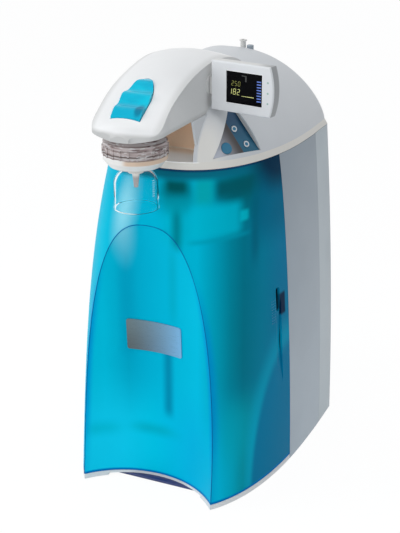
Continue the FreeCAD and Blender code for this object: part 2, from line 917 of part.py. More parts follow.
def cheek_plates():
    """Two three-cornered cheeks that carry the arm's flanks down to the pocket's floor."""
    plates = []
    for side in (-1, 1):
        x = side * pocket_half
        corners = [
            V(x, cheek_front_y, arm_low),
            V(x, deck_y + overrun, arm_low),
            V(x, deck_y + overrun, deck_z),
            V(x, cheek_foot_y, deck_z),
        ]
        plates.append(prism(corners, V(side * shell, 0, 0)))
    return plates


panel_a = V(panel_front_x, panel_front_y, deck_z + panel_foot)
panel_b = V(panel_rear_x, panel_rear_y, deck_z + panel_foot)
panel_c = V(panel_top_x, panel_top_y, deck_z + panel_rise)
panel_long = (panel_b - panel_a).Length
panel_normal = (panel_b - panel_a).cross(panel_c - panel_a).normalize()
backing = 2 * shell      # depth of the block behind the key panel


def panel_prism(grow, low, high):
    """A three-cornered block on the key panel's plane, grown by a margin, between two offsets."""
    middle = (panel_a + panel_b + panel_c) / 3
    corners = []
    for p in (panel_a, panel_b, panel_c):
        out = (p - middle).normalize()
        corners.append(p + out * grow + panel_normal * low)
    return prism(corners, panel_normal * (high - low))


def key_rod(shares, grow, low, high):
    """A round bar square to the key panel, between two offsets from it."""
    along, across, radius = shares
    side = (panel_b - panel_a).normalize()
    up = panel_normal.cross(side)
    at = panel_a + side * (panel_long * along) + up * (panel_long * across) + panel_normal * low
    return rod(panel_long * radius + grow, high - low, at, panel_normal)


key_places = (key_round_shares, key_upper_shares, key_lower_shares)


def top_cover():
    outer = dome(0)
    skin = outer.cut(top_hollow())
    skin = skin.cut(block(-pocket_half, pocket_half, 0, deck_y, deck_z - overrun, arm_low + overrun))
    for plate in cheek_plates():
        skin = skin.fuse(plate)
    skin = skin.fuse(panel_prism(4 * shell, -backing, 0).common(outer))
    skin = skin.cut(panel_prism(0, -panel_thick, overrun))
    skin = skin.cut(arm_outer_solid).cut(hinge_boss())
    skin = skin.cut(rod(vent_radius, overrun, V(vent_x, vent_y, vent_z - overrun / 2)))
    for shares in key_places:
        skin = skin.cut(key_rod(shares, key_gap, -overrun, overrun))
    return skin.removeSplitter()


def key_membrane():
    sheet = panel_prism(-2 * part_line, -panel_thick, 0)
    for shares in key_places:
        sheet = sheet.cut(key_rod(shares, key_gap, -overrun, overrun))
    return sheet


def key_cap(shares):
    """A key's cap above the panel and its wider foot behind the panel's backing."""
    foot_top = -backing - rest_gap
    cap = key_rod(shares, 0, foot_top, key_travel)
    foot = key_rod(shares, 2 * key_gap + key_travel, foot_top - key_travel, foot_top)
    return cap.fuse(foot)


def vent_port():
    points = [
        (vent_bore, -2 * shell),
        (vent_radius, -2 * shell),
        (vent_radius, vent_high - vent_lip),
        (vent_radius + vent_lip, vent_high - vent_lip),
        (vent_radius + vent_lip, vent_high),
        (vent_bore, vent_high),
    ]
    return turned(points, V(vent_x, vent_y, vent_z))


def relief_cap():
    """A small round cap that stands on the dome beside the vent."""
    cap = rod(relief_radius, relief_high + overrun, V(relief_x, relief_y, vent_z - overrun))
    cap = cap.cut(dome(0))
    rim = [e for e in cap.Edges if abs(e.CenterOfMass.z - vent_z - relief_high) < touch]
    return cap.makeFillet(relief_radius / 4, rim)


add("rim_band", rim_band())
add("top_cover", top_cover())
add("key_membrane", key_membrane())
add("select_key", key_cap(key_round_shares))
add("upper_key", key_cap(key_upper_shares))
add("lower_key", key_cap(key_lower_shares))
add("vent_port", vent_port())
add("relief_cap", relief_cap())

# Final filter: clear upper half, white bowl with nozzle, pleated stack between them, glass bell

rib_count = 24
rib_proud = 1.1
rib_wide = 2.2
wall_clear = 2.2
roof_thick = 6.0
filter_bevel = 5.0
rib_drop = 9.0
stack_gap = 0.8
stack_low = 450.0
stack_discs = 4
stack_groove = 3.0
stack_bore = 4.0
bowl_wall = 2.4
bowl_lip = 6.0
bowl_foot = 7.0
collar_long = 9.0
tip_radius = 2.4
tip_root = 4.4


def filter_housing():
    inner = filter_radius - wall_clear
    roof = filter_top - roof_thick
    points = [
        (nozzle_bore, roof),
        (inner, roof),
        (inner, filter_joint),
        (filter_radius, filter_joint),
        (filter_radius, filter_top - filter_bevel),
        (filter_radius - filter_bevel, filter_top),
        (neck_radius, filter_top),
        (neck_radius, filter_top + neck_long),
        (nozzle_bore, filter_top + neck_long),
    ]
    shape = turned(points, V(0, filter_y, 0))
    for i in range(rib_count):
        rib = block(filter_radius - part_line, filter_radius + rib_proud, -rib_wide / 2, rib_wide / 2,
                    filter_joint, filter_top - rib_drop)
        rib.rotate(ZERO, AXIS_Z, 360.0 * i / rib_count)
        rib.translate(V(0, filter_y, 0))
        shape = shape.fuse(rib)
    return shape.removeSplitter()


def filter_stack():
    high = filter_top - roof_thick - stack_gap
    radius = filter_radius - wall_clear - stack_gap
    disc = (high - stack_low) / (2 * stack_discs - 1)
    points = [(stack_bore, stack_low)]
    for i in range(stack_discs):
        z = stack_low + 2 * disc * i
        if i:
            points += [(radius - stack_groove, z - disc), (radius - stack_groove, z)]
        points += [(radius, z), (radius, z + disc)]
    points += [(stack_bore, high)]
    return turned(points, V(0, filter_y, 0))


def filter_bowl():
    low = bowl_bottom
    collar_low = low - collar_long
    inner = filter_radius - bowl_wall
    points = [
        (inner, filter_joint),
        (filter_radius, filter_joint),
        (filter_radius, filter_joint - bowl_lip),
        (filter_radius - bowl_foot, low),
        (collar_radius, low),
        (collar_radius, collar_low),
        (tip_root, collar_low),
        (tip_radius, nozzle_tip),
        (nozzle_bore, nozzle_tip),
        (nozzle_bore, stack_low),
        (tip_root + bowl_wall, stack_low),
        (tip_root + bowl_wall, low + bowl_wall),
        (filter_radius - bowl_foot - bowl_wall, low + bowl_wall),
        (inner, filter_joint - bowl_lip + bowl_wall / 2),
    ]
    return turned(points, V(0, filter_y, 0))


def bell():
    """A thin glass bell whose neck slides on the bowl's collar."""
    fit = collar_radius + running_fit
    neck = fit + bell_wall
    top = bowl_bottom - rest_gap
    outer = [(fit, top), (neck, top)]
    inner = []
    steps = 7
    for i in range(steps + 1):
        turn = math.pi / 2 * i / steps
        down = bell_shoulder * (1 - math.cos(turn))
        outer.append((neck + (bell_radius - neck) * math.sin(turn), bell_high - down))
        inner.append((fit + (bell_radius - bell_wall - fit) * math.sin(turn), bell_high - bell_wall - down))
    outer += [
        (bell_radius, bell_low + 2 * bell_wall),
        (bell_radius + bell_wall / 2, bell_low + bell_wall),
        (bell_radius + bell_wall / 2, bell_low),
        (bell_radius - bell_wall, bell_low),
    ]
    return turned(outer + inner[::-1], V(0, filter_y, 0))


add("filter_housing", filter_housing())
add("filter_stack", filter_stack())
add("filter_bowl", filter_bowl())
add("bell", bell())

# Display head

module_margin = 3.0
glass_sink = 1.0
glass_gap = 0.2
clip_wall = 2.0
clip_out = 6.6           # where the spring clip sits on the spigot


def head_outline(grow):
    """The head's outline seen from the front: straight left side, bowed right end."""
    left, right = head_left - grow, head_length + grow
    low, high = head_low - grow, head_high + grow
    corners = [
        V(left, 0, low),
        V(right - head_bow, 0, low),
        V(right - head_bow, 0, high),
        V(left, 0, high),
    ]
    return Part.Wire([
        Part.makeLine(corners[0], corners[1]),
        Part.Arc(corners[1], V(right, 0, (low + high) / 2), corners[2]).toShape(),
        Part.makeLine(corners[2], corners[3]),
        Part.makeLine(corners[3], corners[0]),
    ])


def head_solid(grow, front, back):
    face = Part.Face(head_outline(grow))
    face.translate(V(0, front, 0))
    return face.extrude(V(0, back - front, 0))


head_front = -head_thick / 2
head_back = head_thick / 2


def display_case():
    outer = head_solid(0, head_front + bezel_thick, head_back)
    rim = [e for e in outer.Edges if abs(e.CenterOfMass.y - head_back) < touch]
    outer = outer.makeFillet(2 * head_edge, rim)
    outer = outer.cut(head_solid(-head_wall, head_front, head_back - head_wall))
    stub = rod(knuckle_radius, head_left - seat_gap, V(seat_gap, 0, 0), AXIS_X)
    trim = block(seat_gap, head_left + head_wall, head_front - overrun, head_front + bezel_thick, -wide, wide)
    spigot = rod(spigot_radius, spigot_end + head_left, V(-spigot_end, 0, 0), AXIS_X)
    return outer.fuse(stub.cut(trim)).fuse(spigot).removeSplitter()


def spigot_clip():
    """The spring clip that holds the head's spigot inside the arm."""
    return ring(spigot_radius + clip_wall, spigot_radius, spigot_end - clip_out, V(-spigot_end, 0, 0), AXIS_X)


def display_bezel():
    face = head_solid(0, head_front, head_front + bezel_thick)
    rim = [e for e in face.Edges if abs(e.CenterOfMass.y - head_front) < touch]
    face = face.makeFillet(head_edge, rim)
    face = face.cut(block(screen_left, screen_left + screen_wide, head_front - overrun, head_back,
                          screen_low, screen_low + screen_tall))
    for z in light_heights:
        face = face.cut(rod(light_radius, 4 * bezel_thick, V(light_x, head_front - bezel_thick, z), AXIS_Y))
    return face


def display_screen():
    """The glass in the bezel's window and the panel behind it."""
    glass = block(screen_left + glass_gap, screen_left + screen_wide - glass_gap, head_front + glass_sink,
                  head_front + bezel_thick, screen_low + glass_gap, screen_low + screen_tall - glass_gap)
    module = block(screen_left - module_margin, screen_left + screen_wide + module_margin,
                   head_front + bezel_thick, head_front + 2 * bezel_thick,
                   screen_low - module_margin, screen_low + screen_tall + module_margin)
    return glass.fuse(module)


def display_lights():
    return Part.makeCompound([rod(light_radius, bezel_thick, V(light_x, head_front, z), AXIS_Y)
                              for z in light_heights])


add("display_case", at_head(display_case()))
add("spigot_clip", at_head(spigot_clip()))
add("display_bezel", at_head(display_bezel()))
add("display_screen", at_head(display_screen()))
add("display_lights", at_head(display_lights()))

# Purification cartridge in its seat, with its cap

seat_wall = 3.0
seat_high = 36.0
cartridge_edge = 4.0
cartridge_groove = 1.5
groove_tall = 4.0
groove_low = 52.0
groove_high = 307.0
cap_skirt = 8.0
cap_taper = 5.0
cap_neck = 14.0
cap_neck_long = 10.0
cap_notches = 18


def cartridge_rear():
    """Where the cartridge's side stub meets the tube from the pump."""
    return cartridge_y + math.sqrt(cartridge_radius ** 2 - (feed_x - cartridge_x) ** 2) + nipple


def cartridge():
    r = cartridge_radius
    points = [
        (0, cartridge_low),
        (r - cartridge_edge, cartridge_low),
        (r, cartridge_low + cartridge_edge),
    ]
    for z in (groove_low, groove_high):
        points += [
            (r, z),
            (r - cartridge_groove, z + cartridge_groove),
            (r - cartridge_groove, z + groove_tall),
            (r, z + groove_tall + cartridge_groove),
        ]
    points += [
        (r, cartridge_high - 2 * cartridge_edge),
        (r - cartridge_edge, cartridge_high),
        (0, cartridge_high),
    ]
    solid = turned(points, V(cartridge_x, cartridge_y, 0))
    boss = rod(2 * nipple, 2 * nipple, V(feed_x, cartridge_rear() - 2 * nipple, riser_z), AXIS_Y)
    return solid.fuse(boss)


def cartridge_cap():
    low = cartridge_high
    points = [
        (0, low),
        (cap_radius, low),
        (cap_radius, low + cap_skirt),
        (cap_radius - cap_taper, low + cap_skirt + cap_taper),
        (cap_neck, cap_high - cap_neck_long),
        (2 * nipple, cap_high),
        (0, cap_high),
    ]
    cap = turned(points, ZERO)
    for i in range(cap_notches):
        notch = rod(cartridge_groove, 2 * overrun, V(cap_radius, 0, low - overrun))
        notch.rotate(ZERO, AXIS_Z, 360.0 * i / cap_notches)
        cap = cap.cut(notch)
    cap.translate(V(cartridge_x, cartridge_y, 0))
    return cap


def cartridge_seat():
    r = cartridge_radius + part_line
    points = [
        (0, floor_top),
        (r + seat_wall, floor_top),
        (r + seat_wall, seat_high),
        (r, seat_high),
        (r, cartridge_low),
        (0, cartridge_low),
    ]
    return turned(points, V(cartridge_x, cartridge_y, 0))


add("cartridge", cartridge())
add("cartridge_cap", cartridge_cap())
add("cartridge_seat", cartridge_seat())

# Ultraviolet lamp: steel tube, two end caps and the brackets that hold it on the chassis wall

lamp_wall = 1.5
lamp_cap_tall = 12.0
lamp_cap_edge = 4.0
lamp_cap_proud = 2.0
nipple_radius = 7.0
collar_wall = 3.0
bracket_shares = (0.2, 0.8)
bracket_tall = 12.0


def lamp_caps():
    r = lamp_radius + lamp_cap_proud
    points = [
        (0, 0),
        (r, 0),
        (r, lamp_cap_tall - lamp_cap_edge),
        (r - lamp_cap_edge, lamp_cap_tall),
        (nipple_radius, lamp_cap_tall),
        (nipple_radius, lamp_cap_tall + nipple),
        (0, lamp_cap_tall + nipple),
    ]
    top_cap = turned(points, V(lamp_x, lamp_y, lamp_high))
    bottom_cap = turned(points, V(lamp_x, lamp_y, lamp_low), -AXIS_Z)
    return Part.makeCompound([top_cap, bottom_cap])


def lamp_brackets():
    brackets = []
    half = bracket_tall / 2
    for share in bracket_shares:
        z = lamp_low + (lamp_high - lamp_low) * share
        top = z + bracket_tall
        arm = block(lamp_x - half, lamp_x + half, lamp_y + lamp_radius + collar_wall / 2, chassis_y, z, top)
        foot = block(lamp_x - lamp_radius, lamp_x + lamp_radius, chassis_y - collar_wall, chassis_y, z, top)
        bore = lamp_radius + running_fit
        collar = ring(lamp_radius + collar_wall, bore, bracket_tall, V(lamp_x, lamp_y, z))
        brackets.append(collar.fuse(arm).fuse(foot).removeSplitter())
    return Part.makeCompound(brackets)


lamp_foot = V(lamp_x, lamp_y, lamp_low)
add("lamp_tube", ring(lamp_radius, lamp_radius - lamp_wall, lamp_high - lamp_low, lamp_foot))
add("lamp_caps", lamp_caps())
add("lamp_brackets", lamp_brackets())

# Pump behind the chassis wall, on its saddle

motor_radius = 22.0
head_radius = 25.0
motor_start = 190.0
motor_end = 246.0
pump_end = 284.0
motor_edge = 4.0
pump_flange = 10.0
pump_step = 3.0
pump_nose = 8.0
saddle_margin = 8.0
saddle_wall = 3.0


def pump_motor():
    long = motor_end - motor_start
    points = [
        (0, 0),
        (motor_radius - motor_edge, 0),
        (motor_radius, motor_edge),
        (motor_radius, long - motor_edge),
        (motor_radius - motor_edge / 2, long - motor_edge),
        (motor_radius - motor_edge / 2, long),
        (0, long),
    ]
    return turned(points, V(feed_x, motor_start, feed_z), AXIS_Y)


def pump_head():
    long = pump_end - motor_end
    points = [
        (0, 0),
        (head_radius, 0),
        (head_radius, pump_flange),
        (head_radius - pump_step, pump_flange + pump_step),
        (head_radius - pump_step, long - pump_nose),
        (head_radius - pump_nose, long),
        (0, long),
    ]
    head = turned(points, V(feed_x, motor_end, feed_z), AXIS_Y)
    return head.fuse(rod(nipple_radius, head_radius + nipple, V(feed_x, (motor_end + pump_end) / 2, feed_z)))


def pump_saddle():
    half = motor_radius + saddle_wall
    saddle = block(feed_x - half, feed_x + half, motor_start + saddle_margin, motor_end - saddle_margin,
                   floor_top, feed_z - motor_radius / 2)
    cradle = rod(motor_radius + running_fit, motor_end, V(feed_x, motor_start - overrun, feed_z), AXIS_Y)
    return saddle.cut(cradle)


add("pump_motor", pump_motor())
add("pump_head", pump_head())
add("pump_saddle", pump_saddle())

# Power supply, control board, valves and conductivity cell

supply_half = 42.0
supply_x = -68.0
supply_start = 188.0
supply_end = 300.0
supply_tall = 42.0
supply_round = 2.0
fin_count = 7
fin_deep = 3.0
board_half = 62.0
board_low = 262.0
board_high = 382.0
board_thick = 1.6
standoff = 6.0
chip_shares = [           # place across and up the board, width, height and depth
    (-0.55, 0.34, 0.22, 0.22, 0.05),
    (0.10, 0.42, 0.40, 0.20, 0.15),
    (0.48, -0.40, 0.30, 0.48, 0.23),
    (-0.58, -0.48, 0.42, 0.13, 0.16),
    (-0.10, -0.30, 0.16, 0.16, 0.26),
]
valve_x = 28.0
valve_y = 156.0
valve_z = 372.0
valve_half = 12.0
valve_tall = 16.0
valve_nose = 6.0
coil_long = 18.0
coil_radius = 9.0
yoke_half = 10.0
yoke_end = 2.0
yoke_drop = 3.0
cell_x = -14.0
cell_long = 34.0
cell_radius = 8.0
clamp_half_wide = 6.0
clamp_half_tall = 11.0
drain_half = 11.0
drain_left = 8.0
switch_half = 6.0
switch_deep = 8.0
switch_tall = 12.0
switch_back = 2.0


def power_supply():
    case = block(supply_x - supply_half, supply_x + supply_half, supply_start, supply_end,
                 floor_top, floor_top + supply_tall)
    case = round_upright(case, supply_round, AXIS_Y)
    pitch = 2 * supply_half / (fin_count + 1)
    for i in range(fin_count):
        x = supply_x - supply_half + pitch * (i + 1)
        case = case.cut(block(x - pitch / 4, x + pitch / 4, supply_start + pitch, supply_end - pitch,
                              floor_top + supply_tall - fin_deep, floor_top + supply_tall + overrun))
    return case


def board_standoffs():
    back = chassis_y + chassis_thick
    posts = []
    for x in (standoff - board_half, board_half - standoff):
        for z in (board_low + standoff, board_high - standoff):
            posts.append(rod(standoff / 2, standoff, V(x, back, z), AXIS_Y))
    return Part.makeCompound(posts)


def control_board():
    y = chassis_y + chassis_thick + standoff
    face = y + board_thick
    board = block(-board_half, board_half, y, face, board_low, board_high)
    middle = (board_low + board_high) / 2
    for across, up, wide_share, tall_share, deep_share in chip_shares:
        x, z = across * board_half, middle + up * board_half
        half_wide, half_tall = wide_share * board_half / 2, tall_share * board_half / 2
        board = board.fuse(block(x - half_wide, x + half_wide, face, face + deep_share * board_half,
                                 z - half_tall, z + half_tall))
    return board


def solenoid_valve():
    base = block(valve_x - valve_half, valve_x + valve_half, valve_y - valve_half, chassis_y,
                 valve_z, valve_z + valve_tall)
    return base.fuse(rod(nipple_radius, valve_nose, V(valve_x, valve_y, valve_z + valve_tall)))


def valve_coil():
    """The coil in its yoke, screwed to the front of the valve's body."""
    start = valve_y - valve_half - coil_long
    coil = rod(coil_radius, coil_long, V(valve_x, start, valve_z + valve_tall / 2), AXIS_Y)
    yoke = block(valve_x - yoke_half, valve_x + yoke_half, start + yoke_end, start + coil_long - yoke_end,
                 valve_z - yoke_drop, valve_z + valve_tall - yoke_drop)
    return coil.fuse(yoke)


def conductivity_cell():
    cell = rod(cell_radius, cell_long, V(cell_x - cell_long / 2, valve_y, cell_z), AXIS_X)
    clamp = block(cell_x - clamp_half_wide, cell_x + clamp_half_wide, valve_y, chassis_y,
                  cell_z - clamp_half_tall, cell_z + clamp_half_tall)
    return cell.fuse(clamp)


def drain_valve():
    return block(drain_x - drain_left, drain_x + drain_half, pump_end - 2 * drain_half, pump_end,
                 floor_top, drain_z + drain_half)


def dispense_switch():
    """The switch under the lever's front edge, clear of the lever at full press."""
    low = arm_bottom(switch_half) + arm_wall
    front = lever_low_y + switch_back
    return block(-switch_half, switch_half, front, front + switch_deep, low, low + switch_tall)


cell_z = valve_z + valve_tall / 2
add("power_supply", power_supply())
add("board_standoffs", board_standoffs())
add("control_board", control_board())
add("solenoid_valve", solenoid_valve())
add("valve_coil", valve_coil())
add("conductivity_cell", conductivity_cell())
add("drain_valve", drain_valve())
add("dispense_switch", dispense_switch())

# Tubes inside the housing: straight runs joined by arcs

bend = 12.0
short_bend = 8.0
bridge_z = 396.0
riser_x = -48.0          # upright run from the lamp to the conductivity cell
arm_run_y = 40.0
arm_run_z = 492.0


def tube(points, radius):
    """A round tube along straight runs whose corners are rounded by the given radius."""
    edges = []
    last = points[0]
    for i in range(1, len(points) - 1):
        here = points[i]
        back = (points[i - 1] - here).normalize()
        forth = (points[i + 1] - here).normalize()
        half_turn = (math.pi - back.getAngle(forth)) / 2
        trim = radius * math.tan(half_turn)
        start, end = here + back * trim, here + forth * trim
        inward = (back + forth).normalize()
        centre = here + inward * (radius / math.cos(half_turn))
        edges.append(Part.makeLine(last, start))
        edges.append(Part.Arc(start, centre - inward * radius, end).toShape())
        last = end
    edges.append(Part.makeLine(last, points[-1]))
    heading = (points[1] - points[0]).normalize()
    section = Part.Wire(Part.makeCircle(tube_radius, points[0], heading))
    return Part.Wire(edges).makePipeShell([section], True, False)


connector_end = back_y - shell - flange
lamp_top = lamp_high + lamp_cap_tall + nipple
lamp_bottom = lamp_low - lamp_cap_tall - nipple
low_run_z = lamp_bottom - bend - 2 * tube_radius
pump_middle = (motor_end + pump_end) / 2
cell_start = cell_x - cell_long / 2
port_side_x = nozzle_bore + port_flange_radius

riser_path = [
    V(feed_x, pump_middle, feed_z + head_radius + nipple),
    V(feed_x, pump_middle, riser_z),
    V(feed_x, cartridge_rear(), riser_z),
]
bridge_path = [
    V(cartridge_x, cartridge_y, cap_high),
    V(cartridge_x, cartridge_y, bridge_z),
    V(lamp_x, lamp_y, bridge_z),
    V(lamp_x, lamp_y, lamp_top),
]
lamp_path = [
    V(lamp_x, lamp_y, lamp_bottom),
    V(lamp_x, lamp_y, low_run_z),
    V(riser_x, valve_y, low_run_z),
    V(riser_x, valve_y, cell_z),
    V(cell_start, valve_y, cell_z),
]
valve_path = [
    V(cell_start + cell_long, valve_y, cell_z),
    V(valve_x - valve_half, valve_y, cell_z),
]
outlet_path = [
    V(valve_x, valve_y, valve_z + valve_tall + valve_nose),
    V(valve_x, valve_y, arm_run_z),
    V(valve_x, arm_run_y, arm_run_z),
    V(valve_x, filter_y, outlet_z),
    V(port_side_x, filter_y, outlet_z),
]
feed_path = [V(feed_x, connector_end, feed_z), V(feed_x, pump_end, feed_z)]
drain_path = [V(drain_x, connector_end, drain_z), V(drain_x, pump_end, drain_z)]

add("rear_tubes", Part.makeCompound([tube(feed_path, bend), tube(drain_path, bend)]))
add("riser_tube", tube(riser_path, bend))
add("bridge_tube", tube(bridge_path, bend))
add("lamp_outlet_tube", tube(lamp_path, bend))
add("valve_tube", tube(valve_path, bend))
add("outlet_tube", tube(outlet_path, short_bend))

# Every piece is moved so that the origin is at the bottom centre of the whole

rear_reach = back_y + 2 * flange + stem_long
origin_y = (arm_nose_y + rear_reach) / 2

for name, shape in nodes.items():
    placed = shape.copy()
    placed.translate(V(0, -origin_y, 0))
    placed.exportStep("parts/" + name + ".step")
    print(name, len(shape.Solids), round(shape.Volume), shape.isValid())
print(len(nodes), "nodes, origin moved by", round(-origin_y, 3))
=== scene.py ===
import bpy
import bmesh
import json
import math
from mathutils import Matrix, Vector


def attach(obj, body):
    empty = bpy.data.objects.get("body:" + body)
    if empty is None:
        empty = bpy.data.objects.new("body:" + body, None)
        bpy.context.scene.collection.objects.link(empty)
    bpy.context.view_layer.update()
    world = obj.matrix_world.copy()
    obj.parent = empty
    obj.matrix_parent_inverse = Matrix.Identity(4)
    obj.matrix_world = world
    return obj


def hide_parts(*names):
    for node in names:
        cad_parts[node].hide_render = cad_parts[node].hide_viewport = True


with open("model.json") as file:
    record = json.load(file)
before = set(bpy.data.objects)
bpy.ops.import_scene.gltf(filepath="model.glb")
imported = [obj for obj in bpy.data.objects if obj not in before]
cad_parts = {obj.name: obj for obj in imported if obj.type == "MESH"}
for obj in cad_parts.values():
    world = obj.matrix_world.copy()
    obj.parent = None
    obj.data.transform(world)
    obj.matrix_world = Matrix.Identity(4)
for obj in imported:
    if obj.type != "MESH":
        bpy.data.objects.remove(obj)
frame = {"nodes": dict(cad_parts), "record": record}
nodes = frame["nodes"]
body_of = {n: b for b, ns in frame["record"]["behaviour"]["bodies"].items() for n in ns}
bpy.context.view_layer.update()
scene = bpy.context.scene
scene.view_settings.view_transform = "Standard"

# Places in this script are in millimetres from the front line of the base, as on the drawing.
SHIFT = 150.75


def at(x, y, z):
    """A place on the drawing, in the scene's metres."""
    return Vector((x, y - SHIFT, z)) / 1000


# Camera at the photograph's viewpoint

lens = bpy.data.cameras.new("camera")
lens.sensor_width = 36
lens.lens = 80.36
camera = bpy.data.objects.new("camera", lens)
camera.location = at(597.583, -1155.433, 825.893)
camera.rotation_euler = (math.pi / 2 - 0.376, 0, 0.424)
scene.collection.objects.link(camera)
scene.camera = camera


# The display head's hinge and its turn to the user's right, and the corners of the key panel
HINGE, YAW = (46.0, 101.0, 513.0), math.radians(10)
PANEL_FRONT, PANEL_REAR, PANEL_TOP = (61.7, 68.2, 433), (97.7, 126.4, 433), (57.8, 123.0, 489.3)


# Materials

class Finish:
    """A material with one Principled shader and small helpers to add nodes to it."""

    def __init__(self, name, colour, roughness, **sockets):
        self.material = bpy.data.materials.new(name)
        self.material.use_nodes = True
        self.tree = self.material.node_tree
        self.shader = self.tree.nodes["Principled BSDF"]
        self.shader.inputs["Base Color"].default_value = (*colour, 1)
        self.shader.inputs["Roughness"].default_value = roughness
        for socket, value in sockets.items():
            self.shader.inputs[socket.replace("_", " ")].default_value = value
        self.coords = self.node("ShaderNodeTexCoord").outputs["Object"]

    def node(self, kind, **values):
        made = self.tree.nodes.new(kind)
        for key, value in values.items():
            setattr(made, key, value)
        return made

    def feed(self, node, socket, value):
        """Link an output to a socket, or write a constant into it."""
        if isinstance(value, bpy.types.NodeSocket):
            self.tree.links.new(value, node.inputs[socket])
        else:
            node.inputs[socket].default_value = value

    def set(self, socket, value):
        self.feed(self.shader, socket, value)

    def noise(self, scale, detail=3.0, stretch=(1, 1, 1)):
        mapping = self.node("ShaderNodeMapping")
        mapping.inputs["Scale"].default_value = stretch
        self.feed(mapping, "Vector", self.coords)
        texture = self.node("ShaderNodeTexNoise")
        texture.inputs["Scale"].default_value = scale
        texture.inputs["Detail"].default_value = detail
        self.feed(texture, "Vector", mapping.outputs["Vector"])
        return texture.outputs["Fac"]

    def ramp(self, value, start, end, low=0.0, high=1.0, soft=True):
        """Value from start to end becomes low to high, with soft ends."""
        ranged = self.node("ShaderNodeMapRange", interpolation_type="SMOOTHSTEP" if soft else "LINEAR")
        self.feed(ranged, "Value", value)
        for socket, number in (("From Min", start), ("From Max", end), ("To Min", low), ("To Max", high)):
            ranged.inputs[socket].default_value = number
        return ranged.outputs["Result"]

    def reckon(self, kind, first, second):
        """One step of arithmetic, by the name that the shader editor gives it."""
        made = self.node("ShaderNodeMath", operation=kind)
        self.feed(made, 0, first)
        self.feed(made, 1, second)
        return made.outputs[0]

    def times(self, first, second):
        return self.reckon("MULTIPLY", first, second)

    def mix(self, factor, first, second):
        made = self.node("ShaderNodeMix", data_type="RGBA")
        self.feed(made, "Factor", factor)
        for slot, value in ((6, first), (7, second)):
            self.feed(made, slot, value if isinstance(value, bpy.types.NodeSocket) else (*value, 1))
        return made.outputs[2]

    def bump(self, height, distance, strength=1.0):
        bump = self.node("ShaderNodeBump")
        bump.inputs["Distance"].default_value = distance
        bump.inputs["Strength"].default_value = strength
        self.feed(bump, "Height", height)
        self.set("Normal", bump.outputs["Normal"])
        return bump

    def axis(self, letter):
        parts = self.node("ShaderNodeSeparateXYZ")
        self.feed(parts, "Vector", self.coords)
        return parts.outputs[letter]

    def along(self, direction, start=Vector()):
        """How far a point lies from start along a direction, in metres."""
        moved = self.node("ShaderNodeVectorMath", operation="SUBTRACT")
        self.feed(moved, 0, self.coords)
        moved.inputs[1].default_value = start
        dot = self.node("ShaderNodeVectorMath", operation="DOT_PRODUCT")
        self.feed(dot, 0, moved.outputs[0])
        dot.inputs[1].default_value = direction
        return dot.outputs["Value"]

    def band(self, value, start, end, soft):
        """1 between two values in mm, with soft ends."""
        rise = self.ramp(value, (start - soft) / 1000, (start + soft) / 1000)
        fall = self.ramp(value, (end + soft) / 1000, (end - soft) / 1000)
        return self.times(rise, fall)

    def ladder(self, value, tones, lift):
        """A run of screen colours along a value in mm."""
        first, last = tones[0][0], tones[-1][0]
        made = self.node("ShaderNodeValToRGB")
        self.feed(made, "Fac", self.ramp(value, first / 1000, last / 1000, soft=False))
        steps = made.color_ramp.elements
        for place, tint in tones[1:-1]:
            steps.new((place - first) / (last - first))
        for step, (place, tint) in zip(steps, tones):
            step.color = (*screen(*tint, lift), 1)
        return made.outputs["Color"]

    def blob_distance(self, centre, reach):
        """Distance from a middle, as a share of the reach in x, y and z."""
        mapping = self.node("ShaderNodeMapping", vector_type="POINT")
        mapping.inputs["Scale"].default_value = [1 / r for r in reach]
        mapping.inputs["Location"].default_value = [-c / r for c, r in zip(centre, reach)]
        self.feed(mapping, "Vector", self.coords)
        length = self.node("ShaderNodeVectorMath", operation="LENGTH")
        self.feed(length, 0, mapping.outputs["Vector"])
        return length.outputs["Value"]

    def blob(self, centre, reach, core=0.17):
        """A soft patch in space: 1 at its middle, 0 past its reach."""
        return self.ramp(self.blob_distance(centre, reach), 1.0, core)


def moulded(name, colour, roughness, grain=1900.0, depth=0.000025, **sockets):
    """Moulded plastic: a fine grain, slow changes of gloss and a trace of colour change."""
    made = Finish(name, colour, roughness, **sockets)
    made.bump(made.noise(grain, 2.0), depth)
    slow = made.noise(11.0, 4.0)
    made.set("Roughness", made.ramp(slow, 0.3, 0.7, roughness - 0.05, roughness + 0.05))
    made.slow = made.ramp(slow, 0.3, 0.7)
    made.set("Base Color", made.mix(made.slow, [c * 0.955 for c in colour], colour))
    return made


def brushed(name, colour, roughness, stretch):
    made = Finish(name, colour, roughness, Metallic=1.0)
    lines = made.noise(60.0, 5.0, stretch)
    made.bump(lines, 0.00004)
    made.set("Roughness", made.ramp(lines, 0.3, 0.7, roughness - 0.08, roughness + 0.1))
    made.set("Base Color", made.mix(made.noise(15.0), [c * 0.9 for c in colour], colour))
    return made


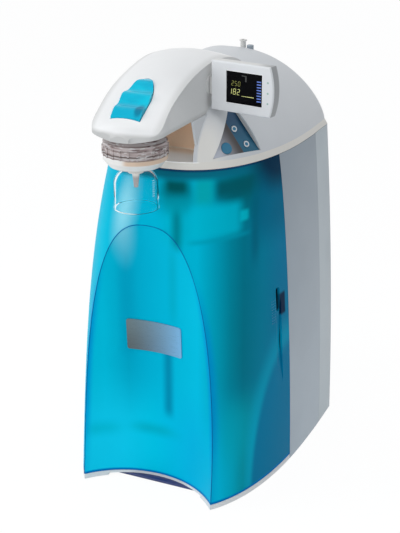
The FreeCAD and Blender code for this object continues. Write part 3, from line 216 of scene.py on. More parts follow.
finishes = {
    "white_plastic": moulded("white_moulded", (0.78, 0.785, 0.79), 0.38),
    "head_plastic": moulded("head_moulded", (0.70, 0.715, 0.735), 0.34),
    "dark_blue_plastic": moulded("pan_blue", (0.012, 0.03, 0.14), 0.25),
    "blue_plastic": moulded("cap_blue", (0.02, 0.25, 0.45), 0.35),
    "black_plastic": moulded("black_moulded", (0.02, 0.02, 0.022), 0.38),
    "connector_plastic": moulded("natural_moulded", (0.72, 0.72, 0.70), 0.40),
    "cartridge_plastic": moulded("cartridge_white", (0.78, 0.80, 0.80), 0.45),
    "tube_plastic": moulded("tube_natural", (0.74, 0.77, 0.78), 0.35),
    "board_green": moulded("board_green", (0.02, 0.16, 0.07), 0.40),
    "foot_rubber": moulded("rubber_black", (0.02, 0.02, 0.02), 0.75, grain=900.0),
    "filter_media": moulded("membrane_white", (0.62, 0.53, 0.50), 0.80, grain=1200.0, depth=0.0001),
    "motor_steel": moulded("motor_black", (0.05, 0.05, 0.055), 0.45),
    "steel": brushed("steel_brushed", (0.60, 0.61, 0.62), 0.32, (40, 1, 1)),
    "supply_aluminium": brushed("supply_metal", (0.66, 0.67, 0.68), 0.38, (1, 30, 1)),
    "pin_brass": brushed("pin_metal", (0.70, 0.58, 0.33), 0.30, (1, 30, 1)),
    "key_plastic": moulded("key_blue", (0.015, 0.17, 0.30), 0.30),
}


def top_finish():
    """White moulding with a creamier strip beside the key panel."""
    made = moulded("top_moulded", (0.60, 0.62, 0.645), 0.36)
    colour = made.mix(made.slow, (0.575, 0.595, 0.62), (0.60, 0.62, 0.645))
    beside_panel = made.blob(at(52, 66, 434), (0.030, 0.060, 0.062), 0.3)
    strip = made.times(made.ramp(made.axis("X"), 0.0450, 0.0475), beside_panel)
    made.set("Base Color", made.mix(strip, colour, (0.72, 0.71, 0.68)))
    return made


def rim_finish():
    """Creamy white band; the pocket's floor is paler and its back wall tan: painted light and a warm
    reflection.
    """
    made = moulded("rim_moulded", (0.74, 0.715, 0.67), 0.40)
    colour = made.mix(made.slow, (0.71, 0.69, 0.645), (0.74, 0.715, 0.67))
    # Painted warm reflection on the pocket's back wall, deepening towards the top under the arm.
    wall = made.ramp(made.axis("Z"), 0.4305, 0.4325)
    tan = made.mix(made.ramp(made.axis("Z"), 0.432, 0.476), (0.93, 0.66, 0.46), (0.86, 0.50, 0.28))
    depth, across = made.axis("Y"), made.reckon("ABSOLUTE", made.axis("X"), 0.0)
    # Painted light on the pocket's shaded floor: paler at the front, with a painted tan reflection behind.
    inside = made.times(made.ramp(depth, -0.112, -0.104), made.ramp(across, 0.050, 0.046))
    floor = made.mix(made.ramp(depth, -0.074, -0.052), (0.95, 0.945, 0.93), (0.93, 0.78, 0.64))
    inside = made.times(inside, made.ramp(made.axis("Z"), 0.4285, 0.4295))
    colour = made.mix(inside, colour, floor)
    made.set("Base Color", made.mix(wall, colour, tan))
    return made


def housing_finish(name, low, high):
    """Grained grey that is lighter towards its foot."""
    made = moulded(name, low, 0.45)
    shade = made.mix(made.ramp(made.axis("Z"), 0.0, 0.42, soft=False), low, high)
    mottle = made.ramp(made.noise(14.0), 0.3, 0.7, 0.0, 0.06)
    made.set("Base Color", made.mix(mottle, shade, (0.2, 0.2, 0.22)))
    return made


def lever_finish():
    """Clear cyan moulding: painted highlights lighten its crests, painted shade deepens its troughs and the
    catch.
    """
    made = moulded("lever_cyan", (0.0, 0.44, 0.62), 0.2, Coat_Weight=0.1, Coat_Roughness=0.1)
    made.set("Specular Tint", (0.1, 0.9, 1.0, 1.0))
    # Painted highlights on the crests and painted shade in the troughs, laid as stretched noise.
    waves = made.ramp(made.noise(70.0, 2.0, (0.35, 1, 1)), 0.35, 0.65)
    made.set("Specular IOR Level", 0.3)
    colour = made.mix(waves, (0.0, 0.40, 0.59), (0.0, 0.50, 0.68))
    # Painted shade at the catch.
    catch = made.blob(at(13, -22, 509), (0.007, 0.012, 0.02), 0.4)
    made.set("Base Color", made.mix(made.times(catch, 0.85), colour, (0.0, 0.14, 0.26)))
    return made


def name_plate_finish():
    made = brushed("name_plate_metal", (0.5, 0.52, 0.55), 0.34, (1, 1, 40))
    fade = made.ramp(made.axis("X"), -0.036, 0.034, soft=False)
    dark = made.mix(made.ramp(made.axis("Z"), 0.185, 0.235), (0.085, 0.115, 0.125), (0.13, 0.19, 0.21))
    made.set("Base Color", made.mix(made.reckon("POWER", fade, 1.6), dark, (0.17, 0.42, 0.68)))
    made.set("Metallic", 0.25)
    return made


def key_panel_finish():
    """Grey film, darker away from its foot, with a dark blue band along its right edge."""
    made = Finish("key_film", (0.4, 0.43, 0.47), 0.30, Metallic=0.3)
    made.bump(made.noise(1800.0, 2.0), 0.00002)
    foot, end, tip = (at(*corner) for corner in (PANEL_FRONT, PANEL_REAR, PANEL_TOP))
    side = (end - foot).normalized()
    up = (end - foot).cross(tip - foot).normalized().cross(side)
    low, high = (0.0459, -0.0015), (0.0307, 0.0441)
    run = Vector((high[0] - low[0], high[1] - low[1])).normalized()
    across = side * run.y - up * run.x
    start = foot + side * low[0] + up * low[1]
    away = made.along(across, start)
    brushing = made.ramp(made.noise(400.0, 2.0, (1, 1, 0.05)), 0.3, 0.7, 0.92, 1.05)
    grey = made.mix(made.ramp(away, -0.034, -0.001), (0.46, 0.49, 0.56), (0.055, 0.050, 0.050))
    rise = made.ramp(made.along(up, foot), 0.0, 0.055)
    blue_band = made.mix(rise, (0.012, 0.11, 0.19), (0.016, 0.055, 0.12))
    colour = made.mix(made.ramp(away, -0.0002, 0.0002), grey, blue_band)
    made.set("Base Color", colour)
    made.set("Roughness", made.times(brushing, 0.30))
    return made


def arm_finish():
    """White moulding, with painted shade that greys its flanks and its lower lip."""
    made = moulded("arm_moulded", (0.78, 0.785, 0.79), 0.36)
    colour = made.mix(made.slow, (0.755, 0.76, 0.765), (0.785, 0.79, 0.795))
    # Painted shade on the flanks.
    flank = made.ramp(made.reckon("ABSOLUTE", made.axis("X"), 0.0), 0.033, 0.0425)
    colour = made.mix(made.times(flank, 0.8), colour, (0.60, 0.605, 0.60))
    # Painted shade round the lower lip, on its underside edge.
    lip = made.ramp(made.axis("Z"), 0.4865, 0.4815)
    made.set("Base Color", made.mix(lip, colour, (0.52, 0.525, 0.52)))
    return made


def bowl_finish():
    """Frosted white bowl with the tan membrane edge in its rim, painted shade on its cone, darker down the
    nozzle.
    """
    made = moulded("bowl_white", (0.74, 0.72, 0.71), 0.35)
    height, side = made.axis("Z"), made.ramp(made.axis("X"), 0.000, 0.008)
    # Painted shade: the cone below the rim is a darker cream-grey.
    colour = made.mix(made.ramp(height, 0.4400, 0.4425), (0.72, 0.68, 0.64), (0.80, 0.79, 0.77))
    tan = made.times(made.band(height, 448.2, 453.0, 0.5), side)
    colour = made.mix(tan, colour, (0.66, 0.50, 0.38))
    rim = made.times(made.band(height, 453.0, 454.3, 0.4), side)
    colour = made.mix(rim, colour, (0.26, 0.17, 0.13))
    made.set("Base Color", made.mix(made.ramp(height, 0.430, 0.424), colour, (0.34, 0.31, 0.31)))
    return made


def case_finish():
    """Display case: pale at the hinge, shaded on its outer end."""
    made = moulded("case_moulded", (0.62, 0.62, 0.61), 0.36)
    end = made.ramp(made.along(Vector((math.cos(YAW), -math.sin(YAW), 0)), at(*HINGE)), 0.060, 0.082)
    made.set("Base Color", made.mix(end, (0.62, 0.62, 0.61), (0.30, 0.31, 0.32)))
    return made


def filter_finish():
    """Clear housing with brownish streaks and dark lines painted as reflections, rings, and glints painted as
    highlights.
    """
    made = clear_finish("filter_clear", (0.88, 0.82, 0.81), 0.06, 1.22, 0.5)
    height = made.axis("Z")
    # Painted reflections: brownish streaks and thin dark lines.
    streaks = made.ramp(made.noise(55.0, 1.5, (1, 1, 7.0)), 0.40, 0.68)
    colour = made.mix(streaks, (0.78, 0.71, 0.70), (0.44, 0.35, 0.34))
    lines = made.ramp(made.noise(75.0, 1.5, (1, 1, 9.0)), 0.64, 0.70)
    colour = made.mix(lines, colour, (0.17, 0.11, 0.11))
    # Painted highlights: white glints.
    glints = made.ramp(made.noise(90.0, 1.0, (1.4, 1.4, 6.0)), 0.58, 0.66)
    colour = made.mix(glints, colour, (0.95, 0.95, 0.95))
    broken = made.ramp(made.noise(70.0, 1.0), 0.38, 0.52)
    for low, high, tint, amount in FILTER_RINGS:
        ring = made.times(made.band(height, low, high, 0.4), made.times(broken, amount))
        colour = made.mix(ring, colour, tint)
    made.set("Base Color", colour)
    return made


# Rings in the filter's wall: height from and to in mm, colour, how much of it
FILTER_RINGS = [(455.6, 456.8, (0.88, 0.86, 0.85), 0.9), (457.3, 458.6, (0.13, 0.09, 0.09), 0.85),
                (463.8, 464.8, (0.20, 0.14, 0.14), 0.6), (469.2, 470.4, (0.24, 0.16, 0.15), 0.7)]


def clear_finish(name, colour, roughness, ior, through=1.0):
    made = Finish(name, colour, roughness, Transmission_Weight=through, IOR=ior)
    made.bump(made.noise(25.0, 2.0), 0.0002)
    return made


def screen(red, green, blue, lift=1.0):
    """A colour as read off a screen, 0 to 255, turned into a material's values."""
    return tuple(min(0.95, lift * (c / 255) ** 2.2) for c in (red, green, blue))


# Painted light and shade of the frosted cover and of what shows through it: its tones in mm along ACROSS,
# from the base's middle front, for the upper and the lower half, then the patches that lie on them.

ACROSS = Vector((0.911, 0.412, 0))
UPPER_TONES = [(-115, (14, 182, 212)), (-50, (8, 178, 206)), (-20, (3, 154, 184)), (6, (3, 163, 194)),
               (40, (1, 170, 200)), (66, (0, 176, 206)), (88, (0, 152, 178)), (106, (0, 127, 148)),
               (122, (2, 110, 130)), (146, (3, 118, 146)), (172, (12, 112, 149))]
LOWER_TONES = [(-115, (22, 196, 226)), (-30, (20, 192, 222)), (10, (3, 184, 212)), (60, (3, 168, 206)),
               (92, (4, 174, 206)), (110, (1, 160, 184)), (124, (0, 136, 148)), (138, (1, 154, 178)),
               (172, (10, 112, 150))]
# Each patch: across from and to, height from and to, softness across and up, colour, how much of it
COVER_PATCHES = [
    (28, 60, 340, 392, 14, 16, (0, 158, 178), 0.6),       # room round the neck and the cap
    (100, 150, 366, 400, 12, 14, (4, 96, 108), 0.75),     # shade over the cap's shoulder
    (136, 200, 330, 430, 10, 24, (8, 92, 122), 0.8),      # shade right of the cap
    (22, 64, 380, 408, 11, 14, (8, 104, 112), 0.6),       # painted shade in the gaps either side of the neck
    (28, 56, 395, 411, 8, 7, (8, 80, 84), 1.0),
    (86, 138, 386, 412, 10, 11, (12, 80, 86), 1.0),
    (64, 84, 382, 413, 7, 10, (14, 158, 166), 0.95),      # neck
    (58, 118, 346, 382, 8, 7, (0, 176, 200), 0.85),       # cap, wide below its shoulder
    (56, 128, 340, 345, 8, 3, (0, 146, 170), 0.6),        # line under the cap
    (117, 127, 358, 370, 3, 3, (4, 184, 200), 0.8),       # side knob
    (131, 140, 306, 392, 4, 20, (2, 90, 112), 0.75),      # painted shade right of the knob, down from it
    (37, 47, 336, 378, 6, 10, (0, 118, 132), 0.95),       # streak left of the cap
    (32, 41, 235, 335, 5, 24, (0, 154, 180), 0.6),
    (25, 35, 100, 196, 5, 10, (2, 120, 154), 0.85),       # tube behind the dish
    (-28, -12, 176, 300, 8, 10, (2, 146, 178), 0.7),      # lamp behind the plate
    (-78, -34, 64, 78, 16, 10, (4, 172, 194), 0.7),       # painted shadow band at the lamp's foot
    (-14, 34, 68, 80, 18, 9, (0, 150, 168), 0.7),
    (96, 132, 60, 130, 12, 30, (0, 158, 176), 0.6),       # greener foot
]
COVER_LIFT = 1.25       # how much lighter its colours are written than they look on a screen

# The crease of the dished front: half its width at the foot, its height, and the powers of its outline
CREASE_FOOT, CREASE_TOP, CREASE_POWER, CREASE_ROUND = 89.5, 358.5, 2.5, 0.38

# The dish behind it: where its centre line leans from and to, how high, and its bend in plan
APEX_Z, APEX_Y, DISH_Y = 361.5, 15.9, 42.5
DISH_RADIUS_LOW, DISH_RADIUS_HIGH = 116, 163
STRAIGHT_SHARE, CURL_SHARE = 0.32, 0.70


def cover_finish():
    """Frosted cyan, with the light and shade of the inner pieces and of its own shape painted softly into its
    colour.
    """
    made = Finish("frosted_cyan", (0.0, 0.45, 0.64), 0.42, Transmission_Weight=0.04, IOR=1.3)
    made.set("Specular IOR Level", 0.06)
    made.set("Specular Tint", (0.1, 0.85, 1.0, 1.0))
    made.bump(made.noise(1500.0, 2.0), 0.00002)
    height, across = made.axis("Z"), made.along(ACROSS, at(0, 0, 0))
    upper = made.ladder(across, UPPER_TONES, COVER_LIFT)
    lower = made.ladder(across, LOWER_TONES, COVER_LIFT)
    colour = made.mix(made.ramp(height, 0.170, 0.060), upper, lower)

    def lay(amount, *tint):
        """Lay a screen colour, of painted light and shade, over the cover's colour."""
        nonlocal colour
        colour = made.mix(amount, colour, screen(*tint, COVER_LIFT))

    for left, right, foot, top, soft, soft_up, tint, amount in COVER_PATCHES:
        inside = made.band(across, left, right, soft)
        inside = made.times(inside, made.band(height, foot, top, soft_up))
        lay(made.times(inside, amount), *tint)
    inner_wall = made.blob_distance(at(124, 160, -20), (0.5, 0.098, 0.193))
    lay(made.ramp(inner_wall, 1.25, 1.06, 0.0, 0.5), 2, 160, 190)
    lay(made.ramp(inner_wall, 1.06, 0.95), 10, 112, 150)
    # Painted highlight: a soft box's reflection on the left front.
    sheen = made.blob(at(-34, 23, 384), (0.026, 0.044, 0.096), 0.0)
    lay(made.times(sheen, 0.75), 148, 212, 230)
    # Painted bluish glow of light along the crease.
    lay(crease_glow(made, height), 2, 132, 200)
    # Painted shade under the rim: darker bands across the top.
    lay(made.ramp(height, 0.4060, 0.4150), 18, 98, 118)
    lay(made.ramp(height, 0.4178, 0.4192), 26, 60, 92)
    lay(made.ramp(height, 0.0130, 0.0100), 0, 110, 176)
    # Painted shade in the top right corner under the rim.
    lay(made.blob(at(114, 156, 426), (0.056, 0.070, 0.060), 0.35), 18, 30, 54)
    # Painted shade of a finger slot beside the real slot, so the slot looks wider.
    slot_shade = made.times(made.band(made.axis("Y"), -13.5, 0.0, 1.5), made.band(height, 218, 247, 2.5))
    lay(made.times(slot_shade, made.ramp(made.axis("X"), 0.05, 0.10)), 8, 34, 62)
    lay(made.ramp(made.noise(7.0, 2.0), 0.3, 0.7, 0.0, 0.10), 0, 140, 180)
    made.set("Base Color", colour)
    return made


def crease_glow(made, height):
    """1 along the crease of the dished front, from the formula of its outline, and 0 away from it."""
    share = made.reckon("POWER", made.reckon("DIVIDE", height, CREASE_TOP / 1000), CREASE_POWER)
    half = made.reckon("POWER", made.reckon("SUBTRACT", 1.0, share), CREASE_ROUND)
    half = made.times(half, CREASE_FOOT / 1000)
    width = made.reckon("ABSOLUTE", made.axis("X"), 0.0)
    off = made.reckon("ABSOLUTE", made.reckon("SUBTRACT", width, half), 0.0)
    near = made.times(made.ramp(off, 0.008, 0.0, 0.0, 0.75), made.ramp(height, 0.33, 0.20))
    near = made.times(near, made.ramp(height, 0.03, 0.12, 0.3, 1.0))
    return made.times(near, made.ramp(made.axis("Y"), -0.085, -0.100))


finishes["name_plate"] = name_plate_finish()
finishes["key_panel"] = key_panel_finish()
finishes["lever_plastic"] = lever_finish()
finishes["clear_plastic"] = filter_finish()
finishes["bell_glass"] = clear_finish("bell_clear", (0.97, 0.99, 1.0), 0.05, 1.055)
finishes["blue_cover"] = cover_finish()
finishes["screen_glass"] = moulded("screen_black", (0.002, 0.002, 0.003), 0.15,
                                   grain=300.0, depth=0.00001, Specular_IOR_Level=0.08)
finishes["light_plastic"] = moulded("indicator_grey", (0.33, 0.48, 0.42), 0.25)
finishes["grey_plastic"] = housing_finish("grey_moulded", (0.47, 0.545, 0.61), (0.28, 0.33, 0.38))
finishes["rear_grey_plastic"] = housing_finish("rear_grey_moulded", (0.53, 0.60, 0.64), (0.46, 0.52, 0.56))
own_finish = {"top_cover": top_finish(), "rim_band": rim_finish(), "arm_shell": arm_finish(),
              "filter_bowl": bowl_finish(), "display_case": case_finish()}


# Pieces

def link(name, mesh):
    piece = bpy.data.objects.new(name, mesh)
    scene.collection.objects.link(piece)
    return piece


def smooth_copy(node, angle=28.0):
    """A merged, smoothly shaded copy of a CAD node that stands in its place."""
    mesh = nodes[node].data.copy()
    mesh.materials.clear()
    work = bmesh.new()
    work.from_mesh(mesh)
    bmesh.ops.remove_doubles(work, verts=work.verts, dist=0.000004)
    for face in work.faces:
        face.smooth = True
    for edge in work.edges:
        edge.smooth = len(edge.link_faces) == 2 and edge.calc_face_angle(0) < math.radians(angle)
    work.to_mesh(mesh)
    work.free()
    return link("dressed_" + node, mesh)


def dress(piece, finish, body):
    """Give a piece its finish and slot, and let it ride on its body."""
    piece.data.materials.clear()
    piece.data.materials.append(finish.material)
    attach(piece, body)
    return piece


slot_of = {s["node"]: s["material_slot"] for s in frame["record"]["subparts"]}
for name in nodes:
    piece = smooth_copy(name)
    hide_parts(name)
    dress(piece, own_finish.get(name, finishes[slot_of[name]]), body_of[name])


def solid(name, shapes):
    """One mesh from several closed shapes, each a list of points and a list of faces."""
    points, faces = [], []
    for corners, sides in shapes:
        faces += [[len(points) + k for k in side] for side in sides]
        points += corners
    mesh = bpy.data.meshes.new(name)
    mesh.from_pydata(points, [], faces)
    work = bmesh.new()
    work.from_mesh(mesh)
    bmesh.ops.recalc_face_normals(work, faces=work.faces)
    work.to_mesh(mesh)
    work.free()
    return link(name, mesh)


def slab(outline, place, thick):
    """A thin plate with a bevelled rim: outline points go through place(a, b, depth)."""
    count = len(outline)
    middle = [sum(p[k] for p in outline) / count for k in (0, 1)]
    rim = min(math.dist(p, middle) for p in outline) * 0.12
    inner = []
    for p in outline:
        share = rim / max(math.dist(p, middle), 1e-9)
        inner.append([p[k] + (middle[k] - p[k]) * share for k in (0, 1)])
    rings = [(outline, 0.0), (outline, thick * 0.6), (inner, thick)]
    points = [place(a, b, depth) for ring, depth in rings for a, b in ring]
    faces = [list(range(count)), [2 * count + k for k in range(count)][::-1]]
    for level in (0, 1):
        for k in range(count):
            nxt = (k + 1) % count
            low = level * count
            faces.append([low + k, low + nxt, low + count + nxt, low + count + k])
    return points, faces


# Screen: digits, a line, bars and a dim sign, in millimetres from the screen's lower left corner

SCREEN = (25.0, -15.8, -7.5)
SCREEN_WIDE, SCREEN_TALL = 48.6, 37.2
FIGURE_THICK = 0.08


def on_head(x, depth, z):
    """A point on the display head: across, towards the user and up from its hinge."""
    return at(HINGE[0] + x * math.cos(YAW) - depth * math.sin(YAW),
              HINGE[1] - x * math.sin(YAW) - depth * math.cos(YAW), HINGE[2] + z)


def on_screen(a, b, depth):
    return on_head(SCREEN[0] + a, -SCREEN[2] + 0.02 + depth, SCREEN[1] + b)


SEGMENTS = {"0": "abcdef", "1": "bc", "2": "abged", "5": "afgcd", "8": "abcdefg"}


def digit(sign, left, low, wide, tall, bar, slant=0.1):
    """Seven-segment figure as pointed bars."""
    half = tall / 2
    runs = {"a": ((0, tall), (wide, tall)), "g": ((0, half), (wide, half)), "d": ((0, 0), (wide, 0)),
            "f": ((0, half), (0, tall)), "b": ((wide, half), (wide, tall)),
            "e": ((0, 0), (0, half)), "c": ((wide, 0), (wide, half))}
    shapes = []
    for key in SEGMENTS[sign]:
        (x0, y0), (x1, y1) = runs[key]
        length = math.hypot(x1 - x0, y1 - y0)
        dx, dy = (x1 - x0) / length, (y1 - y0) / length
        outline = []
        for s, t in ((0.1, 0), (0.1 + bar / 2, bar / 2), (length - 0.1 - bar / 2, bar / 2),
                     (length - 0.1, 0), (length - 0.1 - bar / 2, -bar / 2), (0.1 + bar / 2, -bar / 2)):
            a, b = x0 + dx * s - dy * t, y0 + dy * s + dx * t
            outline.append((left + a + b * slant, low + b))
        shapes.append(slab(outline, on_screen, FIGURE_THICK))
    return shapes


def bar(left, low, wide, tall):
    right, top = left + wide, low + tall
    return slab([(left, low), (right, low), (right, top), (left, top)], on_screen, FIGURE_THICK)


def lit(name, colour, strength):
    """A glowing colour of the screen."""
    made = Finish(name, colour, 0.3)
    made.set("Emission Color", (*colour, 1))
    made.set("Emission Strength", made.ramp(made.noise(700.0, 1.0), 0.3, 0.7, strength * 0.8, strength * 1.1))
    return made


figures = []
for k, sign in enumerate("250"):
    figures += digit(sign, 6.8 + 4.4 * k, 20.6, 2.5, 5.2, 0.38)
faint = solid("screen_upper_figures", figures)
dress(faint, lit("figure_dim", (0.24, 0.25, 0.06), 0.6), "display_head")
figures = [bar(20.5, 9.3, 9.0, 0.35), bar(28.5, 9.2, 8.5, 0.6)]
for k, sign in enumerate("182"):
    figures += digit(sign, 3.6 + 5.4 * k, 10.4, 3.0, 6.4, 0.48)
strong = solid("screen_lower_figures", figures)
dress(strong, lit("figure_bright", (0.52, 0.54, 0.20), 0.8), "display_head")
sign_bars = [(20.4, 32.6, 6.6, 0.9), (25.2, 26.6, 1.8, 5.8), (20.5, 9.0, 16.0, 0.25)]
sign = solid("screen_sign", [bar(*place) for place in sign_bars])
dress(sign, lit("figure_grey", (0.04, 0.042, 0.04), 0.3), "display_head")


# Trees of geometry nodes: a bead along a path and a stack of bars

class Rule:
    """A geometry node tree with named inputs, used once and turned into a plain mesh."""

    def __init__(self, name, takes_mesh=False):
        self.group = bpy.data.node_groups.new(name, "GeometryNodeTree")
        if takes_mesh:
            self.group.interface.new_socket("Geometry", in_out="INPUT", socket_type="NodeSocketGeometry")
        self.group.interface.new_socket("Geometry", in_out="OUTPUT", socket_type="NodeSocketGeometry")
        self.given = self.group.nodes.new("NodeGroupInput")
        self.result = self.group.nodes.new("NodeGroupOutput")
        self.values = {}

    def input(self, name, kind, value):
        socket = self.group.interface.new_socket(name, in_out="INPUT", socket_type="NodeSocket" + kind)
        self.values[socket.identifier] = value
        return self.given.outputs[name]

    def node(self, kind, **links):
        """Add a node: a geometry node by its short kind, a shader node by its whole name."""
        made = self.group.nodes.new("GeometryNode" + kind if not kind.startswith("Shader") else kind)
        for socket, value in links.items():
            self.put(made, socket.replace("_", " "), value)
        return made

    def put(self, node, socket, value):
        if isinstance(value, bpy.types.NodeSocket):
            self.group.links.new(value, node.inputs[socket])
        else:
            node.inputs[socket].default_value = value

    def finish(self, output, finish, name, mesh=None):
        """End the tree, run it once and keep the plain mesh that it gives."""
        real = self.node("RealizeInstances", Geometry=output)
        coat = self.node("SetMaterial", Geometry=real.outputs[0])
        coat.inputs["Material"].default_value = finish.material
        self.group.links.new(coat.outputs[0], self.result.inputs[0])
        piece = link(name, mesh or bpy.data.meshes.new(name + "_seed"))
        modifier = piece.modifiers.new("rule", "NODES")
        modifier.node_group = self.group
        for identifier, value in self.values.items():
            modifier[identifier] = value
        made = piece.evaluated_get(bpy.context.evaluated_depsgraph_get())
        plain = bpy.data.meshes.new_from_object(made)
        piece.modifiers.remove(modifier)
        piece.data = plain
        return piece


def bead(name, paths, radius, finish, body):
    """A fine round bead along one or more paths of points."""
    points, edges = [], []
    for path in paths:
        edges += [(len(points) + k, len(points) + k + 1) for k in range(len(path) - 1)]
        points += path
    mesh = bpy.data.meshes.new(name + "_path")
    mesh.from_pydata(points, edges, [])
    rule = Rule(name + "_rule", takes_mesh=True)
    thick = rule.input("Radius", "Float", radius)
    sides = rule.input("Sides", "Int", 6)
    line = rule.node("MeshToCurve", Mesh=rule.given.outputs[0])
    section = rule.node("CurvePrimitiveCircle", Radius=thick, Resolution=sides)
    tube = rule.node("CurveToMesh", Curve=line.outputs[0])
    rule.put(tube, "Profile Curve", section.outputs[0])
    rule.put(tube, "Fill Caps", True)
    piece = rule.finish(tube.outputs[0], finish, name, mesh)
    return dress(piece, finish, body)


def stack(name, count, step, size, finish, body, start):
    """Equal bars one above another, turned as the display head is."""
    rule = Rule(name + "_rule")
    amount = rule.input("Count", "Int", count)
    rise = rule.input("Step", "Vector", step)
    box = rule.input("Size", "Vector", size)
    begin = rule.input("Start", "Vector", start)
    row = rule.node("MeshLine", Count=amount)
    rule.put(row, "Start Location", begin)
    rule.put(row, "Offset", rise)
    brick = rule.node("MeshCube", Size=box)
    set_on = rule.node("InstanceOnPoints", Points=row.outputs[0], Instance=brick.outputs[0])
    rule.put(set_on, "Rotation", (0.0, 0.0, -YAW))
    return dress(rule.finish(set_on.outputs[0], finish, name), finish, body)


bar_blue = lit("bar_blue", (0.08, 0.14, 0.42), 0.5)
stack("screen_bars", 8, (0, 0, 0.00325), (0.0058, 0.00012, 0.0013), bar_blue, "display_head",
      on_screen(43.8, 5.9, 0.05))


# Graduation lines on the bell's right side

tick_glass = clear_finish("tick_pale", (0.75, 0.93, 0.97), 0.4, 1.1, 0.4)
stack("bell_ticks", 8, (0, 0, 0.0026), (0.0003, 0.0036, 0.0004), tick_glass, "dispensing_bell",
      at(25.6, -15.0, 408))


# Grip studs: small domes set on the cover's own surface, beside the finger slot

def studs(name, target, middle, rows, columns, step, radius, finish, body):
    """A field of small domes, dropped along -X onto a surface."""
    rule = Rule(name + "_rule", takes_mesh=True)
    high = rule.input("Rows", "Int", rows)
    wide = rule.input("Columns", "Int", columns)
    pitch = rule.input("Step", "Float", step)
    size = rule.input("Radius", "Float", radius)
    spread = [rule.node("ShaderNodeMath") for _ in range(2)]
    for node, amount, count in zip(spread, (high, wide), (rows, columns)):
        node.operation = "MULTIPLY"
        rule.group.links.new(pitch, node.inputs[0])
        node.inputs[1].default_value = count - 1
    field = rule.node("MeshGrid", Size_X=spread[0].outputs[0], Size_Y=spread[1].outputs[0])
    rule.put(field, "Vertices X", high)
    rule.put(field, "Vertices Y", wide)
    stood = rule.node("Transform", Geometry=field.outputs[0], Translation=middle)
    rule.put(stood, "Rotation", (0.0, math.pi / 2, 0.0))
    hit = rule.node("Raycast")
    rule.put(hit, "Target Geometry", rule.given.outputs[0])
    rule.put(hit, "Ray Direction", (-1.0, 0.0, 0.0))
    placed = rule.node("SetPosition", Geometry=stood.outputs[0], Position=hit.outputs["Hit Position"])
    dome = rule.node("MeshIcoSphere", Radius=size, Subdivisions=2)
    set_on = rule.node("InstanceOnPoints", Points=placed.outputs[0], Instance=dome.outputs[0])
    piece = rule.finish(set_on.outputs[0], finish, name, target)
    return dress(piece, finish, body)


stud_blue = moulded("stud_blue", screen(30, 128, 170), 0.35)
studs("grip_studs", nodes["front_cover"].data.copy(), at(135, 121.5, 228), 9, 3, 0.0036, 0.0009, stud_blue,
      "cover")


# The crease between the dished front and the body, from one foot over the apex to the other: its bead's
# darker blue is painted shade

CREASE_LOW = 9.0


def crease_point(turn):
    """A point on the crease, from one foot at a quarter turn back to the other at a quarter turn on."""
    z = CREASE_LOW + (CREASE_TOP - CREASE_LOW) * math.cos(turn) ** 0.6
    x = CREASE_FOOT * max(0.0, 1 - (z / CREASE_TOP) ** CREASE_POWER) ** CREASE_ROUND
    share = z / APEX_Z
    depth_share = STRAIGHT_SHARE * (1 - share) + CURL_SHARE * (1 - share ** 4)
    middle = APEX_Y + (DISH_Y - APEX_Y) * depth_share
    radius = DISH_RADIUS_LOW + (DISH_RADIUS_HIGH - DISH_RADIUS_LOW) * (1 - abs(1 - share) ** 2.2)
    y = middle - radius + math.sqrt(radius ** 2 - x ** 2)
    return at(math.copysign(x, turn), y, z)


# Darker blue painted as the crease's shade.
crease_shade_blue = moulded("edge_blue", screen(0, 118, 176), 0.5, Specular_IOR_Level=0.05)
crease = [crease_point(math.pi / 2 * k / 90) for k in range(-90, 91)]
bead("crease_edge", [crease], 0.0006, crease_shade_blue, "cover")


# A fine white edge round the screen: a pale bead painted as the highlight on its bevel

EDGE = 0.2
left, right, foot, top = -EDGE, SCREEN_WIDE + EDGE, -EDGE, SCREEN_TALL + EDGE
corners = [(left, foot), (right, foot), (right, top), (left, top), (left, foot)]
screen_edge = [on_screen(a, b, 0.9) for a, b in corners]
bevel_highlight_white = moulded("bevel_highlight_white", (0.92, 0.93, 0.94), 0.3)
bead("screen_edge", [screen_edge], 0.0004, bevel_highlight_white, "display_head")


# White rings on the two small keys

def key_frame():
    foot, end, tip = (Vector(corner) for corner in (PANEL_FRONT, PANEL_REAR, PANEL_TOP))
    side = (end - foot).normalized()
    normal = (end - foot).cross(tip - foot).normalized()
    return foot, side, normal.cross(side), normal, (end - foot).length


def key_ring(name, along, across, radius, body):
    """A raised ring on a key: a rounded section swept round the key's middle."""
    foot, side, up, normal, long = key_frame()
    middle = foot + side * along * long + up * across * long + normal * 0.72
    section = [(radius * 0.56, -0.05), (radius * 0.60, 0.12), (radius * 0.70, 0.2), (radius * 0.86, 0.2),
               (radius * 0.95, 0.1), (radius * 0.97, -0.05)]
    count, steps = len(section), 40
    points = []
    for k in range(steps):
        turn = 2 * math.pi * k / steps
        out = side * math.cos(turn) + up * math.sin(turn)
        points += [at(*(middle + out * r + normal * h)) for r, h in section]
    faces = []
    for k in range(steps):
        here, there = k * count, (k + 1) % steps * count
        for j in range(count):
            nxt = (j + 1) % count
            faces.append([here + j, here + nxt, there + nxt, there + j])
    piece = solid(name, [(points, faces)])
    for face in piece.data.polygons:
        face.use_smooth = True
    return dress(piece, finishes["head_plastic"], body)


key_ring("upper_key_ring", 0.597, 0.451, 3.9, "upper_button")
key_ring("lower_key_ring", 0.755, 0.151, 3.9, "lower_button")


# Floor, world and studio lights

def shown_ray(tree):
    """1 for rays that show the background: from the camera, and through or off a shiny piece."""
    path = tree.nodes.new("ShaderNodeLightPath")
    value = path.outputs["Is Camera Ray"]
    for other in ("Is Glossy Ray", "Is Transmission Ray"):
        either = tree.nodes.new("ShaderNodeMath")
        either.operation = "MAXIMUM"
        tree.links.new(value, either.inputs[0])
        tree.links.new(path.outputs[other], either.inputs[1])
        value = either.outputs[0]
    return value


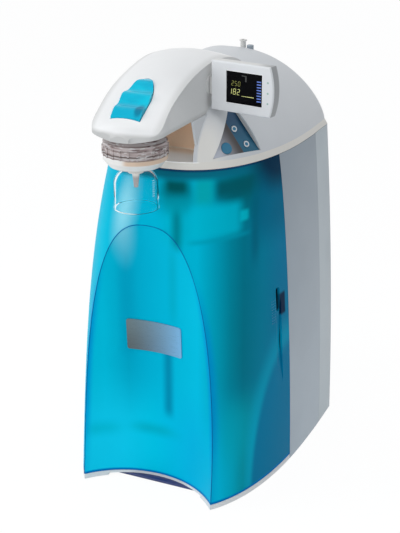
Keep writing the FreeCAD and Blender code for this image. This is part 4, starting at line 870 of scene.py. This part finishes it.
def backdrop():
    mesh = bpy.data.meshes.new("floor")
    mesh.from_pydata([(-6, -6, 0), (6, -6, 0), (6, 6, 0), (-6, 6, 0)], [], [(0, 1, 2, 3)])
    floor = link("floor", mesh)
    made = Finish("floor_pale", (0.86, 0.87, 0.88), 0.9)
    made.bump(made.noise(40.0), 0.0001)
    white = made.node("ShaderNodeEmission")
    white.inputs["Strength"].default_value = 1.03
    share = made.times(shown_ray(made.tree), 0.92)
    mix = made.node("ShaderNodeMixShader")
    made.feed(mix, "Fac", share)
    made.tree.links.new(made.shader.outputs[0], mix.inputs[1])
    made.tree.links.new(white.outputs[0], mix.inputs[2])
    made.tree.links.new(mix.outputs[0], made.tree.nodes["Material Output"].inputs["Surface"])
    mesh.materials.append(made.material)


def world_light(strength):
    world = bpy.data.worlds.new("studio")
    world.use_nodes = True
    scene.world = world
    tree = world.node_tree
    sky = tree.nodes["Background"]
    sky.inputs["Color"].default_value = (0.94, 0.97, 1.0, 1)
    sky.inputs["Strength"].default_value = strength
    seen = tree.nodes.new("ShaderNodeBackground")
    seen.inputs["Color"].default_value = (1, 1, 1, 1)
    mix = tree.nodes.new("ShaderNodeMixShader")
    tree.links.new(shown_ray(tree), mix.inputs["Fac"])
    tree.links.new(sky.outputs[0], mix.inputs[1])
    tree.links.new(seen.outputs[0], mix.inputs[2])
    tree.links.new(mix.outputs[0], tree.nodes["World Output"].inputs["Surface"])


def soft_box(name, place_at, aim, wide, tall, power, colour=(1, 1, 1)):
    light = bpy.data.lights.new(name, "AREA")
    light.shape = "RECTANGLE"
    light.size, light.size_y = wide, tall
    light.energy = power
    light.color = colour
    lamp = bpy.data.objects.new(name, light)
    lamp.location = place_at
    lamp.rotation_euler = (aim - place_at).to_track_quat("-Z", "Y").to_euler()
    scene.collection.objects.link(lamp)


backdrop()
world_light(0.54)
middle = Vector((0, 0, 0.27))
soft_box("left_box", Vector((-1.5, -1.1, 1.2)), middle, 0.9, 1.6, 11)
soft_box("top_box", Vector((0.0, -0.3, 1.9)), middle, 1.2, 1.0, 7)
soft_box("front_box", Vector((0.2, -2.2, 0.8)), middle, 1.2, 1.2, 9)
